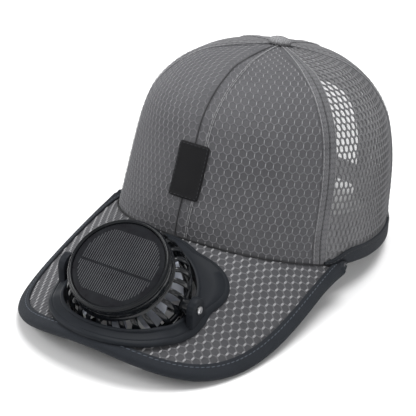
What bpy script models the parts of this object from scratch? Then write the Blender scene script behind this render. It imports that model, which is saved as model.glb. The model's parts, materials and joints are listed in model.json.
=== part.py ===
# Solar fan hat: a six panel mesh cap with a tilting fan and a solar disc let into its visor.
# Metres. The cap is modelled in its own frame, with the front of the visor toward -Y, the
# wearer's left toward +X, and the rear of the crown's lower edge at height 0. At the end it
# is leaned back until it rests on a floor by its two front visor corners and its rear edge.

import bpy
import bmesh
from math import sin, cos, tan, asin, pi, radians, copysign, hypot
from mathutils import Matrix, Vector

MM = 0.001

# Crown
CROWN_HALF_WIDTH = 78.7 * MM
CROWN_FRONT = 104.6 * MM
CROWN_BACK = 104.3 * MM
CROWN_HEIGHT = 113.1 * MM
APEX_FORWARD = 6.1 * MM
FRONT_WALL = 2.0 * MM
NET_WALL = 1.6 * MM
CROWN_TOP_HOLE = 3.0 * MM
BUTTON_RADIUS = 6.8 * MM
BUTTON_HEIGHT = 4.3 * MM
PATCH_WIDTH = 19.0 * MM
PATCH_HEIGHT = 31.0 * MM
PATCH_LOW_EDGE = 22.0 * MM
PATCH_THICKNESS = 1.0 * MM

# Rear opening, its strap, and the sweatband inside the lower edge
OPENING_TURN = radians(20.0)
OPENING_HEIGHT = 77.0 * MM
OPENING_TAPE_WIDTH = 6.0 * MM
STRAP_LOW = 6.0 * MM
STRAP_HEIGHT = 15.0 * MM
STRAP_THICKNESS = 1.6 * MM
STRAP_HOLD = radians(14.0)
STRAP_LAP = radians(10.0)
BAND_LOW = 1.5 * MM
BAND_HEIGHT = 26.5 * MM
BAND_THICKNESS = 1.6 * MM

# Visor
VISOR_RISE = 14.7 * MM
VISOR_SLOPE = radians(23.0)
VISOR_ARCH = 38.5 * MM
VISOR_SIDE_OVERHANG = 0.7 * MM
VISOR_FRONT_MARGIN = 1.4 * MM
VISOR_END_SETBACK = 60.8 * MM
VISOR_END_ANGLE = radians(74.0)
VISOR_END_WIDTH = 4.2 * MM
VISOR_END_THICKNESS = 1.6 * MM
VISOR_END_LIFT = 2.4 * MM
VISOR_THICKNESS = 3.0 * MM
TEMPLE_DIP = 14.5 * MM
TEMPLE_FADE = 40.0 * MM
TAPE_WIDTH = 10.5 * MM
TAPE_THICKNESS = 1.0 * MM
EDGE_TAPE_HEIGHT = 9.0 * MM
TAPE_END_SPACE = 1.5 * MM
BARE_END_WIDTH = 1.2 * MM

# Fan plate and its ring below the visor
PLATE_CROWN_GAP = 2.0 * MM
PLATE_RIM = 9.0 * MM
PLATE_THICKNESS = 2.2 * MM
LIP_HEIGHT = 1.4 * MM
LIP_WIDTH = 1.7 * MM
LIP_ROUND = 0.6 * MM
PLATE_BEVEL = 0.8 * MM
TAPE_CLEARED = 12.0 * MM
TAPE_RAMP = 8.0 * MM
LOBE_REACH = 9.2 * MM
LOBE_ANGLE = radians(129.0)
LOBE_SPREAD = radians(24.0)
CLAMP_WIDTH = 6.0 * MM
CLAMP_THICKNESS = 2.0 * MM
EAR_RADIUS = 6.5 * MM
EAR_THICKNESS = 4.4 * MM
EAR_CLEARANCE = 1.0 * MM

# Fan head, along its own axis from the pivot
CAGE_RADIUS = 34.4 * MM
CAGE_WALL = 1.8 * MM
RIB_COUNT = 28
RIB_SHARE = 0.34
RIB_SWEEP = radians(7.0)
CAGE_DEPTH = 9.5 * MM
FOOT_RING_INSET = 0.4 * MM
FOOT_RING_HEIGHT = 1.8 * MM
HEAD_TILT = radians(20.0)
PIVOT_LIFT = 0.5 * MM
DRUM_RADIUS = 28.2 * MM
DRUM_FOOT = 13.6 * MM
DRUM_HEIGHT = 6.6 * MM
DECK_THICKNESS = 2.0 * MM
BEZEL_WIDTH = 3.4 * MM
BEZEL_HEIGHT = 3.6 * MM
PANEL_THICKNESS = 2.4 * MM
BOSS_RADIUS = 3.0 * MM
GUARD_SPOKES = 12
GUARD_THICKNESS = 2.0 * MM
GUARD_HUB = 8.0 * MM
MOTOR_RADIUS = 10.0 * MM
MOTOR_HEIGHT = 9.6 * MM
SHAFT_RADIUS = 1.0 * MM
SHAFT_LENGTH = 10.0 * MM
ROTOR_HUB_RADIUS = 11.0 * MM
BLADE_COUNT = 7
BLADE_THICKNESS = 1.2 * MM
BLADE_CLEARANCE = 3.0 * MM
BLADE_LEAN = 8.0 * MM
BLADE_FLARE = 0.9
BLADE_SWEEP = radians(14.0)
BLADE_ROOT_DEPTH = 0.7 * MM
BLADE_MARGIN = 1.0 * MM
PIN_RADIUS = 1.25 * MM
SCREW_HEAD_RADIUS = 2.3 * MM
SCREW_HEAD_HEIGHT = 1.2 * MM

# Clearances
GAP = 0.3 * MM
SEAM_GAP = 0.3 * MM
RUNNING_CLEARANCE = 1.8 * MM
BORE_CLEARANCE = 0.35 * MM
# Room inside the crown for the flat faces of its panels.
FACET_ROOM = 0.7 * MM

# Crown sections from the lower edge to the apex. The lengths are shares of the crown's
# height above its lower edge, and of its front, half width and back.
CROWN_SECTIONS = [
    # height, front, side, back
    (0.00, 1.000, 1.000, 1.000),
    (0.14, 0.990, 0.971, 1.024),
    (0.28, 0.953, 0.956, 1.022),
    (0.42, 0.915, 0.940, 0.986),
    (0.56, 0.884, 0.910, 0.914),
    (0.69, 0.842, 0.857, 0.830),
    (0.80, 0.758, 0.759, 0.726),
    (0.89, 0.636, 0.623, 0.599),
    (0.96, 0.454, 0.419, 0.401),
    (1.00, 0.000, 0.000, 0.000),
]
# Panels of the wearer's left half, as angles from the front seam round to the back seam.
PANELS = [
    # name, first angle, last angle, wall, colour
    ("panel_front", 0.0, 60.5, FRONT_WALL, (0.15, 0.15, 0.16)),
    ("panel_side", 60.5, 120.0, NET_WALL, (0.17, 0.17, 0.18)),
    ("panel_back", 120.0, 180.0, NET_WALL, (0.17, 0.17, 0.18)),
]
PANEL_COLUMNS = 6
PANEL_ROWS = 10
VISOR_COLUMNS = 30
END_COLUMNS = 3
OPENING_STEPS = 8
STRAP_STEPS = 6
PLATE_STATIONS = 52
CLAMP_STATIONS = 32
HOLE_SEGMENTS = 56
CUT_DEPTH = 30.0 * MM
# The share of the visor's half width past which its outer edge runs in to the crown.
SIDE_END = 0.93

# Visor outline: the exponents of its rounded plan, at its sides and at its front.
SIDE_EXPONENT = 2.3
FRONT_EXPONENT = 3.7
TEMPLE_EXPONENT = 8
OPENING_EXPONENT = 3.0

# The cage's side from the drum's foot down: shares of the way out from the drum to the
# cage's full radius, and heights as shares of the drum's foot above or the depth below.
CAGE_SIDE = [
    # outward, height
    (0.00, 1.00),
    (0.50, 0.83),
    (0.86, 0.50),
    (1.00, 0.12),
    (1.00, -0.16),
    (0.90, -0.60),
    (0.66, -1.00),
]

# The bezel's section, from its outer foot up and over: distances in from the outer wall as
# shares of its width, and heights as shares of its own.
BEZEL_SECTION = [
    # inward, height
    (0.00, 0.00),
    (-0.09, 0.45),
    (0.15, 0.83),
    (0.41, 1.00),
    (0.74, 0.97),
    (1.00, 0.78),
    (1.00, 0.00),
]

BLACK = (0.012, 0.012, 0.013)
PLATE_GREY = (0.030, 0.031, 0.034)
TAPE_BLACK = (0.018, 0.020, 0.024)
BAND_GREY = (0.10, 0.10, 0.11)


# Small helpers

def smooth(t):
    t = min(max(t, 0.0), 1.0)
    return t * t * (3.0 - 2.0 * t)


def power(value, exponent):
    return copysign(abs(value) ** exponent, value)


def material(name, colour, roughness, metallic=0.0):
    made = bpy.data.materials.new(name)
    made.use_nodes = True
    shader = made.node_tree.nodes["Principled BSDF"]
    shader.inputs["Base Color"].default_value = (*colour, 1.0)
    shader.inputs["Roughness"].default_value = roughness
    shader.inputs["Metallic"].default_value = metallic
    made.diffuse_color = (*colour, 1.0)
    return made


def add_object(name, mesh_data, parent, colour, roughness, metallic=0.0, smooth_angle=35.0):
    mesh_data.shade_smooth()
    mesh_data.set_sharp_from_angle(angle=radians(smooth_angle))
    made = bpy.data.objects.new(name, mesh_data)
    made.parent = parent
    mesh_data.materials.append(material(name + "_finish", colour, roughness, metallic))
    bpy.context.scene.collection.objects.link(made)
    return made


def mesh_from(name, points, faces):
    mesh_data = bpy.data.meshes.new(name)
    mesh_data.from_pydata([tuple(p) for p in points], [], faces)
    tidy = bmesh.new()
    tidy.from_mesh(mesh_data)
    bmesh.ops.recalc_face_normals(tidy, faces=tidy.faces)
    tidy.to_mesh(mesh_data)
    tidy.free()
    return mesh_data


def empty(name, parent, location=(0.0, 0.0, 0.0), pitch=0.0):
    made = bpy.data.objects.new(name, None)
    made.parent = parent
    made.location = location
    made.rotation_euler = (pitch, 0.0, 0.0)
    bpy.context.scene.collection.objects.link(made)
    return made


def cutter(name, mesh_data, parent):
    made = bpy.data.objects.new(name, mesh_data)
    made.parent = parent
    made.hide_render = True
    made.display_type = "WIRE"
    bpy.context.scene.collection.objects.link(made)
    return made


def combine(target, tool, operation):
    boolean = target.modifiers.new(tool.name, "BOOLEAN")
    boolean.operation = operation
    boolean.object = tool
    boolean.solver = "EXACT"


def plate_between(name, front, back, columns, rows, closed=False):
    """A closed wall between two grids of points that have the same rows and columns."""
    points = [p for row in front for p in row] + [p for row in back for p in row]
    half = rows * columns
    faces = []
    last = columns if closed else columns - 1
    for i in range(rows - 1):
        for j in range(last):
            k = (j + 1) % columns
            a, b, c, d = i * columns + j, i * columns + k, (i + 1) * columns + k, (i + 1) * columns + j
            faces += [(a, b, c, d), (d + half, c + half, b + half, a + half)]
    for j in range(last):
        k = (j + 1) % columns
        faces.append((k, j, j + half, k + half))
        end = (rows - 1) * columns
        faces.append((end + j, end + k, end + k + half, end + j + half))
    if not closed:
        for i in range(rows - 1):
            a, b = i * columns, (i + 1) * columns
            faces.append((a, b, b + half, a + half))
            a, b = a + columns - 1, b + columns - 1
            faces.append((b, a, a + half, b + half))
    return mesh_from(name, points, faces)


def swept(name, loops, closed=False):
    """A solid through equal loops of points, with its two ends filled unless it closes."""
    count = len(loops[0])
    points = [p for loop in loops for p in loop]
    faces = []
    for i in range(len(loops) - (0 if closed else 1)):
        here, there = i * count, (i + 1) % len(loops) * count
        for j in range(count):
            k = (j + 1) % count
            faces.append((here + j, here + k, there + k, there + j))
    if not closed:
        faces.append(tuple(range(count)))
        faces.append(tuple(range(len(points) - count, len(points))))
    return mesh_from(name, points, faces)


def turned(name, profile, segments):
    """A solid turned about Z from a closed profile of radius and height."""
    loops = []
    for i in range(segments):
        angle = 2.0 * pi * i / segments
        loops.append([Vector((r * sin(angle), -r * cos(angle), h)) for r, h in profile])
    return swept(name, loops, closed=True)


def turned_solid(name, profile, segments):
    """A solid turned about Z from an open profile whose two ends are filled flat."""
    loops = []
    for r, h in profile:
        ring = [2.0 * pi * i / segments for i in range(segments)]
        loops.append([Vector((r * sin(a), -r * cos(a), h)) for a in ring])
    return swept(name, loops)


# Crown surface

def section_shares(row):
    """Height, front, side and back shares at a row number from 0 to the apex, smoothly."""
    last = len(CROWN_SECTIONS) - 1
    i = min(int(row), last - 1)
    t = row - i
    here, there = CROWN_SECTIONS[i], CROWN_SECTIONS[i + 1]
    if i > 0:
        before = CROWN_SECTIONS[i - 1]
    else:
        before = tuple(2.0 * a - b for a, b in zip(here, there))
    if i < last - 1:
        after = CROWN_SECTIONS[i + 2]
    else:
        after = (here[0], -here[1], -here[2], -here[3])
    shares = []
    for a, b, c, d in zip(before, here, there, after):
        shares.append(0.5 * (2.0 * b + (c - a) * t + (2.0 * a - 5.0 * b + 4.0 * c - d) * t * t
                             + (3.0 * b - a - 3.0 * c + d) * t ** 3))
    return shares


def visor_end():
    return -(CROWN_FRONT - VISOR_END_SETBACK)


def visor_half_width():
    return CROWN_HALF_WIDTH + VISOR_SIDE_OVERHANG


def visor_height(x, y):
    """The arched, sloping surface that the visor and the fan plate follow."""
    slope = tan(VISOR_SLOPE) * (y + CROWN_FRONT)
    return VISOR_RISE + slope - VISOR_ARCH * (x / visor_half_width()) ** 2


def base_plan(angle):
    """The crown's lower edge seen from above, by the angle from the front."""
    length = CROWN_FRONT if cos(angle) > 0.0 else CROWN_BACK
    return CROWN_HALF_WIDTH * sin(angle), -length * cos(angle)


def crease_height(angle):
    """Where the crown meets the visor, running down to the level edge behind the temples."""
    x, y = base_plan(angle)
    fade = smooth((visor_end() - y) / TEMPLE_FADE + 1.0)
    return fade * (visor_height(x, y) - TEMPLE_DIP * abs(sin(angle)) ** TEMPLE_EXPONENT)


def crown_edge_height(angle):
    """The panels run down past the visor's thickness, and stop above the tape's fold."""
    turn = abs((angle + pi) % (2.0 * pi) - pi)
    column = radians(60.0) / PANEL_COLUMNS
    taped = smooth((turn - VISOR_END_ANGLE) / column + 2.0)
    fold = TAPE_THICKNESS + GAP
    return crease_height(angle) - (VISOR_THICKNESS + GAP) * (1.0 - taped) + fold * taped


def crown_plan_point(angle, row):
    height, front, side, back = section_shares(row)
    length = CROWN_FRONT * front if cos(angle) > 0.0 else CROWN_BACK * back
    edge = crown_edge_height(angle)
    x = CROWN_HALF_WIDTH * side * sin(angle)
    y = -length * cos(angle) - APEX_FORWARD * height
    return Vector((x, y, edge + (CROWN_HEIGHT - edge) * height))


def crown_point(angle, row, outward=0.0, aside=0.0):
    """A point on the crown's outer face, moved outward along the normal or aside along it."""
    step = 0.01
    top = len(CROWN_SECTIONS) - 1.0
    low, high = max(row - step, 0.0), min(row + step, top)
    across = crown_plan_point(angle + step, row) - crown_plan_point(angle - step, row)
    up = crown_plan_point(angle, high) - crown_plan_point(angle, low)
    normal = across.cross(up).normalized()
    return crown_plan_point(angle, row) + normal * outward + across.normalized() * aside


def row_at_height(angle, height):
    """The row at which a panel is this far above its lower edge."""
    low, high = 0.0, len(CROWN_SECTIONS) - 1.0
    start = crown_plan_point(angle, 0.0).z
    for _ in range(30):
        middle = (low + high) / 2.0
        if crown_plan_point(angle, middle).z - start < height:
            low = middle
        else:
            high = middle
    return low


def top_row():
    """The last row of the panels, just outside the small hole under the button."""
    low, high = len(CROWN_SECTIONS) - 2.0, len(CROWN_SECTIONS) - 1.0
    for _ in range(30):
        middle = (low + high) / 2.0
        if crown_plan_point(pi / 2.0, middle).x > CROWN_TOP_HOLE:
            low = middle
        else:
            high = middle
    return low


def tape_row(angle):
    """The row at the top of the edge tape."""
    return row_at_height(angle, EDGE_TAPE_HEIGHT - TAPE_THICKNESS - GAP)


def make_panel(name, first, last, wall, colour, parent):
    outer, inner = [], []
    end = top_row()
    for i in range(PANEL_ROWS + 1):
        outer.append([])
        inner.append([])
        for j in range(PANEL_COLUMNS + 1):
            share = j / PANEL_COLUMNS
            angle = first + (last - first) * share
            low = tape_row(angle)
            row = low + (end - low) * (i - 1.0) / (PANEL_ROWS - 1.0) if i else 0.0
            aside = SEAM_GAP / 2.0 * (1.0 - 2.0 * share) * copysign(1.0, last - first)
            outer[-1].append(crown_point(angle, row, 0.0, aside))
            inner[-1].append(crown_point(angle, row, -wall, aside))
    panel = plate_between(name, outer, inner, PANEL_COLUMNS + 1, PANEL_ROWS + 1)
    return add_object(name, panel, parent, colour, 0.85, smooth_angle=60.0)


def make_crown(parent):
    for name, first, last, wall, colour in PANELS:
        left = make_panel(name + "_left", radians(first), radians(last), wall, colour, parent)
        right = make_panel(name + "_right", radians(-first), radians(-last), wall, colour, parent)
    cut_rear_opening((left, right), parent)


def make_button(parent):
    """A cloth covered button on the crown's top, over the meeting of the six panels."""
    low = CROWN_HEIGHT + GAP
    profile = [(BUTTON_RADIUS * 0.9, low), (BUTTON_RADIUS, low + BUTTON_HEIGHT * 0.22)]
    for i in range(1, 5):
        turn = radians(90.0) * i / 5.0
        profile.append((BUTTON_RADIUS * cos(turn), low + BUTTON_HEIGHT * (0.22 + 0.78 * sin(turn))))
    button = add_object("top_button", turned_solid("top_button", profile, 18), parent,
                        (0.13, 0.13, 0.14), 0.8)
    button.location = (0.0, -APEX_FORWARD, 0.0)


def make_patch(parent):
    """A plain woven patch over the front seam, bent to the crown."""
    columns, rows = 4, 4
    outer, inner = [], []
    for i in range(rows + 1):
        height = VISOR_THICKNESS + GAP + PATCH_LOW_EDGE + PATCH_HEIGHT * i / rows
        row = row_at_height(0.0, height)
        side_share = section_shares(row)[2]
        outer.append([])
        inner.append([])
        for j in range(columns + 1):
            across = PATCH_WIDTH * (j / columns - 0.5)
            angle = across / (CROWN_HALF_WIDTH * side_share)
            outer[-1].append(crown_point(angle, row, GAP + PATCH_THICKNESS))
            inner[-1].append(crown_point(angle, row, GAP))
    patch = plate_between("front_patch", outer, inner, columns + 1, rows + 1)
    add_object("front_patch", patch, parent, BLACK, 0.8)


def panel_angles(first, last):
    """The panels' columns between two angles of the left half, and the two angles."""
    columns = []
    for panel in PANELS:
        low, high = radians(panel[1]), radians(panel[2])
        columns += [low + (high - low) * j / PANEL_COLUMNS for j in range(PANEL_COLUMNS)]
    close = radians(1.0)
    return [first] + [angle for angle in columns if first + close < angle < last - close] + [last]


def make_base_binding(name, side, parent):
    """Tape folded over the crown's lower edge, from an end of the visor to the opening."""
    fold = GAP + TAPE_THICKNESS
    inside = -NET_WALL
    round_off = 0.4 * TAPE_THICKNESS
    start = VISOR_END_ANGLE + TAPE_END_SPACE / CROWN_HALF_WIDTH
    down = Vector((0.0, 0.0, -GAP))
    under = Vector((0.0, 0.0, -fold))
    loops = []
    for turn in panel_angles(start, pi - OPENING_TURN):
        angle = side * turn
        high = tape_row(angle)
        loops.append([
            crown_point(angle, high, fold), crown_point(angle, 0.0, fold),
            crown_point(angle, 0.0, fold - round_off) + under,
            crown_point(angle, 0.0, inside - fold + round_off) + under,
            crown_point(angle, 0.0, inside - fold), crown_point(angle, high, inside - fold),
            crown_point(angle, high, inside - GAP), crown_point(angle, 0.0, inside - GAP) + down,
            crown_point(angle, 0.0, GAP) + down, crown_point(angle, high, GAP),
        ])
    add_object(name, swept(name, loops), parent, TAPE_BLACK, 0.75)


# Rear opening. Its edge is followed by a turn from 0 at the left foot, over the top, to pi.

def opening_edge(turn):
    """The angle round the crown, and the height above the panels' lower edge."""
    share = 2.0 / OPENING_EXPONENT
    return pi - OPENING_TURN * power(cos(turn), share), OPENING_HEIGHT * abs(sin(turn)) ** share


def opening_turns():
    """Turns spaced evenly along the opening's edge, from its left foot to its right one."""
    rise = [pi / 2.0 * (i / OPENING_STEPS) ** (OPENING_EXPONENT / 2.0) for i in range(OPENING_STEPS + 1)]
    return rise + [pi - turn for turn in reversed(rise[:-1])]


def opening_point(turn, away=0.0, outward=0.0):
    """A point off the opening's edge: away from it along the cloth, and outward."""
    step = 0.02
    before, after = opening_edge(max(turn - step, 0.0)), opening_edge(min(turn + step, pi))
    across = (after[0] - before[0]) * CROWN_HALF_WIDTH
    rise = after[1] - before[1]
    length = hypot(across, rise)
    angle, height = opening_edge(turn)
    angle -= away * rise / length / CROWN_HALF_WIDTH
    height += away * across / length
    return crown_point(angle, row_at_height(angle, height), outward)


def cut_rear_opening(panels, parent):
    """The arched opening at the back of the crown, from its lower edge up."""
    edge = [opening_point(turn) for turn in opening_turns()]
    below = Vector((0.0, 0.0, -EDGE_TAPE_HEIGHT))
    outline = [edge[0] + below] + edge + [edge[-1] + below]
    loops = [[Vector((p.x, y, p.z)) for p in outline] for y in (CROWN_BACK / 2.0, 1.2 * CROWN_BACK)]
    tool = cutter("rear_opening", swept("rear_opening", loops), parent)
    for panel in panels:
        combine(panel, tool, "DIFFERENCE")


def make_rear_binding(parent):
    """Tape folded over the opening's edge, between the ends of the edge tape."""
    fold = GAP + TAPE_THICKNESS
    inner = -(NET_WALL + FACET_ROOM)
    inner_face = inner - TAPE_THICKNESS
    round_off = 0.4 * TAPE_THICKNESS
    wide = OPENING_TAPE_WIDTH
    section = [
        (wide, fold), (0.0, fold), (-fold, fold - round_off), (-fold, inner_face + round_off),
        (0.0, inner_face), (wide, inner_face), (wide, inner), (-GAP, inner), (-GAP, GAP), (wide, GAP),
    ]
    foot = (EDGE_TAPE_HEIGHT - TAPE_THICKNESS) / OPENING_HEIGHT
    first = asin(foot ** (OPENING_EXPONENT / 2.0))
    turns = [first] + opening_turns()[1:-1] + [pi - first]
    loops = [[opening_point(turn, away, outward) for away, outward in section] for turn in turns]
    add_object("rear_binding", swept("rear_binding", loops), parent, TAPE_BLACK, 0.75)


def band_inside(name, angles, heights, depth, thickness, parent):
    """A band of cloth that follows the inside of the crown, this deep below its outer face."""
    outer, inner = [], []
    for height in heights:
        rows = [row_at_height(angle, height) for angle in angles]
        outer.append([crown_point(angle, row, -depth) for angle, row in zip(angles, rows)])
        inner.append([crown_point(angle, row, -depth - thickness) for angle, row in zip(angles, rows)])
    band = plate_between(name, outer, inner, len(angles), len(heights))
    add_object(name, band, parent, BAND_GREY, 0.85)


def inner_depth():
    """Clear of the inner side of the tapes."""
    return NET_WALL + FACET_ROOM + TAPE_THICKNESS + GAP


def make_straps(parent):
    """Two tongues that lap across the opening, each held inside its back panel."""
    first = pi - OPENING_TURN - STRAP_HOLD
    last = pi + STRAP_LAP
    heights = (STRAP_LOW, STRAP_LOW + STRAP_HEIGHT)
    deeper = inner_depth() + STRAP_THICKNESS + FACET_ROOM
    for name, side, depth in (("rear_strap_left", 1.0, inner_depth()), ("rear_strap_right", -1.0, deeper)):
        angles = [side * (first + (last - first) * i / STRAP_STEPS) for i in range(STRAP_STEPS + 1)]
        band_inside(name, angles, heights, depth, STRAP_THICKNESS, parent)


def make_sweatband(parent):
    """A band round the inside of the lower edge, from one strap's end to the other's."""
    last = pi - OPENING_TURN - STRAP_HOLD - TAPE_END_SPACE / CROWN_HALF_WIDTH
    left = panel_angles(0.0, last)
    angles = [-angle for angle in reversed(left[1:])] + left
    heights = (BAND_LOW, EDGE_TAPE_HEIGHT, (EDGE_TAPE_HEIGHT + BAND_HEIGHT) / 2.0, BAND_LOW + BAND_HEIGHT)
    band_inside("sweatband", angles, heights, inner_depth(), BAND_THICKNESS, parent)


# Visor

def plate_radius():
    return opening_radius() + PLATE_RIM


def opening_radius():
    return CAGE_RADIUS + RUNNING_CLEARANCE


def collar_radius():
    return opening_radius() + LIP_WIDTH


def visor_reach():
    """The visor is just deep enough for the fan plate, with a small margin in front."""
    return PLATE_CROWN_GAP + 2.0 * plate_radius() * cos(VISOR_SLOPE) + VISOR_FRONT_MARGIN


def fan_place():
    """The point on the visor's surface under the middle of the fan plate."""
    y = -(CROWN_FRONT + PLATE_CROWN_GAP + plate_radius() * cos(VISOR_SLOPE))
    return Vector((0.0, y, visor_height(0.0, y)))


def outline_plan(share):
    """The visor's outer edge seen from above, by a share from -1 to 1 across the visor.
    The turn is eased so that points along the visor's straight sides stay evenly spaced."""
    along = min(abs(share) / SIDE_END, 1.0)
    turn = copysign(pi / 2.0 * (1.0 - (1.0 - along) ** (FRONT_EXPONENT / 2.0)), share)
    x = visor_half_width() * power(sin(turn), 2.0 / SIDE_EXPONENT)
    depth = CROWN_FRONT + visor_reach() + visor_end()
    y = visor_end() - depth * max(cos(turn), 0.0) ** (2.0 / FRONT_EXPONENT)
    end = inner_plan(copysign(1.0, share))
    end += Vector((end.x / CROWN_HALF_WIDTH, end.y / CROWN_FRONT, 0.0)).normalized() * VISOR_END_WIDTH
    return Vector((x, y, 0.0)).lerp(end, run_in(share))


def run_in(share):
    """From 0 to 1 along the last stretch of the visor's side, where it narrows to the crown."""
    return max(abs(share) - SIDE_END, 0.0) / (1.0 - SIDE_END)


def inner_plan(share):
    angle = share * VISOR_END_ANGLE
    x, y = base_plan(angle)
    out = Vector((x / CROWN_HALF_WIDTH ** 2, y / CROWN_FRONT ** 2, 0.0)).normalized()
    return Vector((x, y, 0.0)) + out * GAP


def visor_top(share, inward):
    """A point on the visor's top face: across it by share, and inward 0 at its outer edge."""
    point = outline_plan(share).lerp(inner_plan(share), inward)
    x, y = base_plan(share * VISOR_END_ANGLE)
    dip = crease_height(share * VISOR_END_ANGLE) - visor_height(x, y)
    point.z = visor_height(point.x, point.y) + dip * max(inward, run_in(share))
    point.z += VISOR_END_LIFT * run_in(share)
    return point


def visor_depth(share):
    """The board's thickness, thinner where its ends run in to the crown."""
    return VISOR_THICKNESS + (VISOR_END_THICKNESS - VISOR_THICKNESS) * run_in(share)


def visor_point(share, inward, height):
    """A point off the visor's top face, square to it, or upright along the crown."""
    step = 0.004
    a = min(max(share, step - 1.0), 1.0 - step)
    across = visor_top(a + step, inward) - visor_top(a - step, inward)
    along = visor_top(share, inward + step) - visor_top(share, inward - step)
    normal = across.cross(along).normalized()
    upright = smooth((inward - 0.6) / 0.4)
    offset = normal * (1.0 - upright) + Vector((0.0, 0.0, upright / normal.z))
    return visor_top(share, inward) + offset * height


def inward_share(share, width):
    """How far in from the outer edge this width reaches, measured square to the edge."""
    step = 0.004
    a = min(max(share, step - 1.0), 1.0 - step)
    edge = (outline_plan(a + step) - outline_plan(a - step)).normalized()
    line = inner_plan(share) - outline_plan(share)
    square = line.cross(edge).length
    return min(width / square, 1.0 - BARE_END_WIDTH / line.length)


def visor_shares():
    """Columns across the visor: even ones, and closer ones where its ends run in."""
    middle = [SIDE_END * (2.0 * i / VISOR_COLUMNS - 1.0) for i in range(VISOR_COLUMNS + 1)]
    end = [SIDE_END + (1.0 - SIDE_END) * i / END_COLUMNS for i in range(1, END_COLUMNS + 1)]
    return [-share for share in reversed(end)] + middle + end


def visor_rows(share):
    """Rows of the board: under the tape's fold, at the tape's edge, then to the crown."""
    edge = inward_share(share, TAPE_THICKNESS + GAP)
    wide = inward_share(share, TAPE_WIDTH)
    return [edge] + [wide + (1.0 - wide) * i / 5.0 for i in range(6)]


def make_visor(parent):
    top, bottom = [], []
    rows = len(visor_rows(0.0))
    for i in range(rows):
        top.append([])
        bottom.append([])
        for share in visor_shares():
            inward = visor_rows(share)[i]
            top[-1].append(visor_point(share, inward, 0.0))
            bottom[-1].append(visor_point(share, inward, -visor_depth(share)))
    board = plate_between("visor", top, bottom, len(visor_shares()), rows)
    return add_object("visor", board, parent, (0.10, 0.10, 0.11), 0.8, smooth_angle=50.0)


def make_visor_binding(parent):
    """Tape folded over the visor's outer edge."""
    fold = GAP + TAPE_THICKNESS
    loops = []
    for share in visor_shares():
        low = -visor_depth(share)
        wide = inward_share(share, TAPE_WIDTH)
        edge = inward_share(share, TAPE_THICKNESS)
        bevel = edge / 2.0
        loops.append([
            visor_point(share, wide, fold),
            visor_point(share, bevel, fold), visor_point(share, 0.0, fold - 0.6 * TAPE_THICKNESS),
            visor_point(share, 0.0, low - fold + 0.6 * TAPE_THICKNESS),
            visor_point(share, bevel, low - fold), visor_point(share, wide, low - fold),
            visor_point(share, wide, low - GAP), visor_point(share, edge, low - GAP),
            visor_point(share, edge, GAP), visor_point(share, wide, GAP),
        ])
    return add_object("visor_binding", swept("visor_binding", loops), parent, TAPE_BLACK, 0.75)


def disc_mesh(name, radius, low, high, segments):
    return turned_solid(name, [(radius, low), (radius, high)], segments)


def cut_fan_hole(pieces, mount):
    """The round hole that the plate's collar passes through."""
    hole = disc_mesh("visor_hole", collar_radius() + GAP, -CUT_DEPTH, CUT_DEPTH, HOLE_SEGMENTS)
    tool = cutter("visor_hole", hole, mount)
    for piece in pieces:
        combine(piece, tool, "DIFFERENCE")


# Fan plate. Its points are given by the angle from the front and the radius from its middle,
# in the plane of the visor's slope, and by a height square to that plane.

def plate_point(angle, radius, height):
    x = radius * sin(angle)
    back = Vector((0.0, cos(VISOR_SLOPE), sin(VISOR_SLOPE))) * -radius * cos(angle)
    up = Vector((0.0, -sin(VISOR_SLOPE), cos(VISOR_SLOPE)))
    arch = VISOR_ARCH * (x / visor_half_width()) ** 2 * cos(VISOR_SLOPE)
    return fan_place() + Vector((x, 0.0, 0.0)) + back + up * (height - arch)


def plate_outline(angle):
    """A round plate with two soft lobes at its rear corners."""
    turn = abs((angle + pi) % (2.0 * pi) - pi)
    away = abs(turn - LOBE_ANGLE) / LOBE_SPREAD
    lobe = cos(min(away, 1.0) * pi / 2.0) ** 2
    return plate_radius() + LOBE_REACH * lobe


def tape_lift(angle, radius):
    """The plate's underside rises over the visor's tape toward the front."""
    point = plate_point(angle, radius, 0.0)
    across = min(abs(point.x) / visor_half_width(), 1.0)
    depth = CROWN_FRONT + visor_reach() + visor_end()
    edge = visor_end() - depth * (1.0 - across ** SIDE_EXPONENT) ** (1.0 / FRONT_EXPONENT)
    near = (TAPE_WIDTH + TAPE_CLEARED - (point.y - edge)) / TAPE_RAMP
    return GAP + (GAP + TAPE_THICKNESS) * smooth(near)


def clamp_top():
    return -(VISOR_THICKNESS + TAPE_THICKNESS + 3.0 * GAP)


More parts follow.
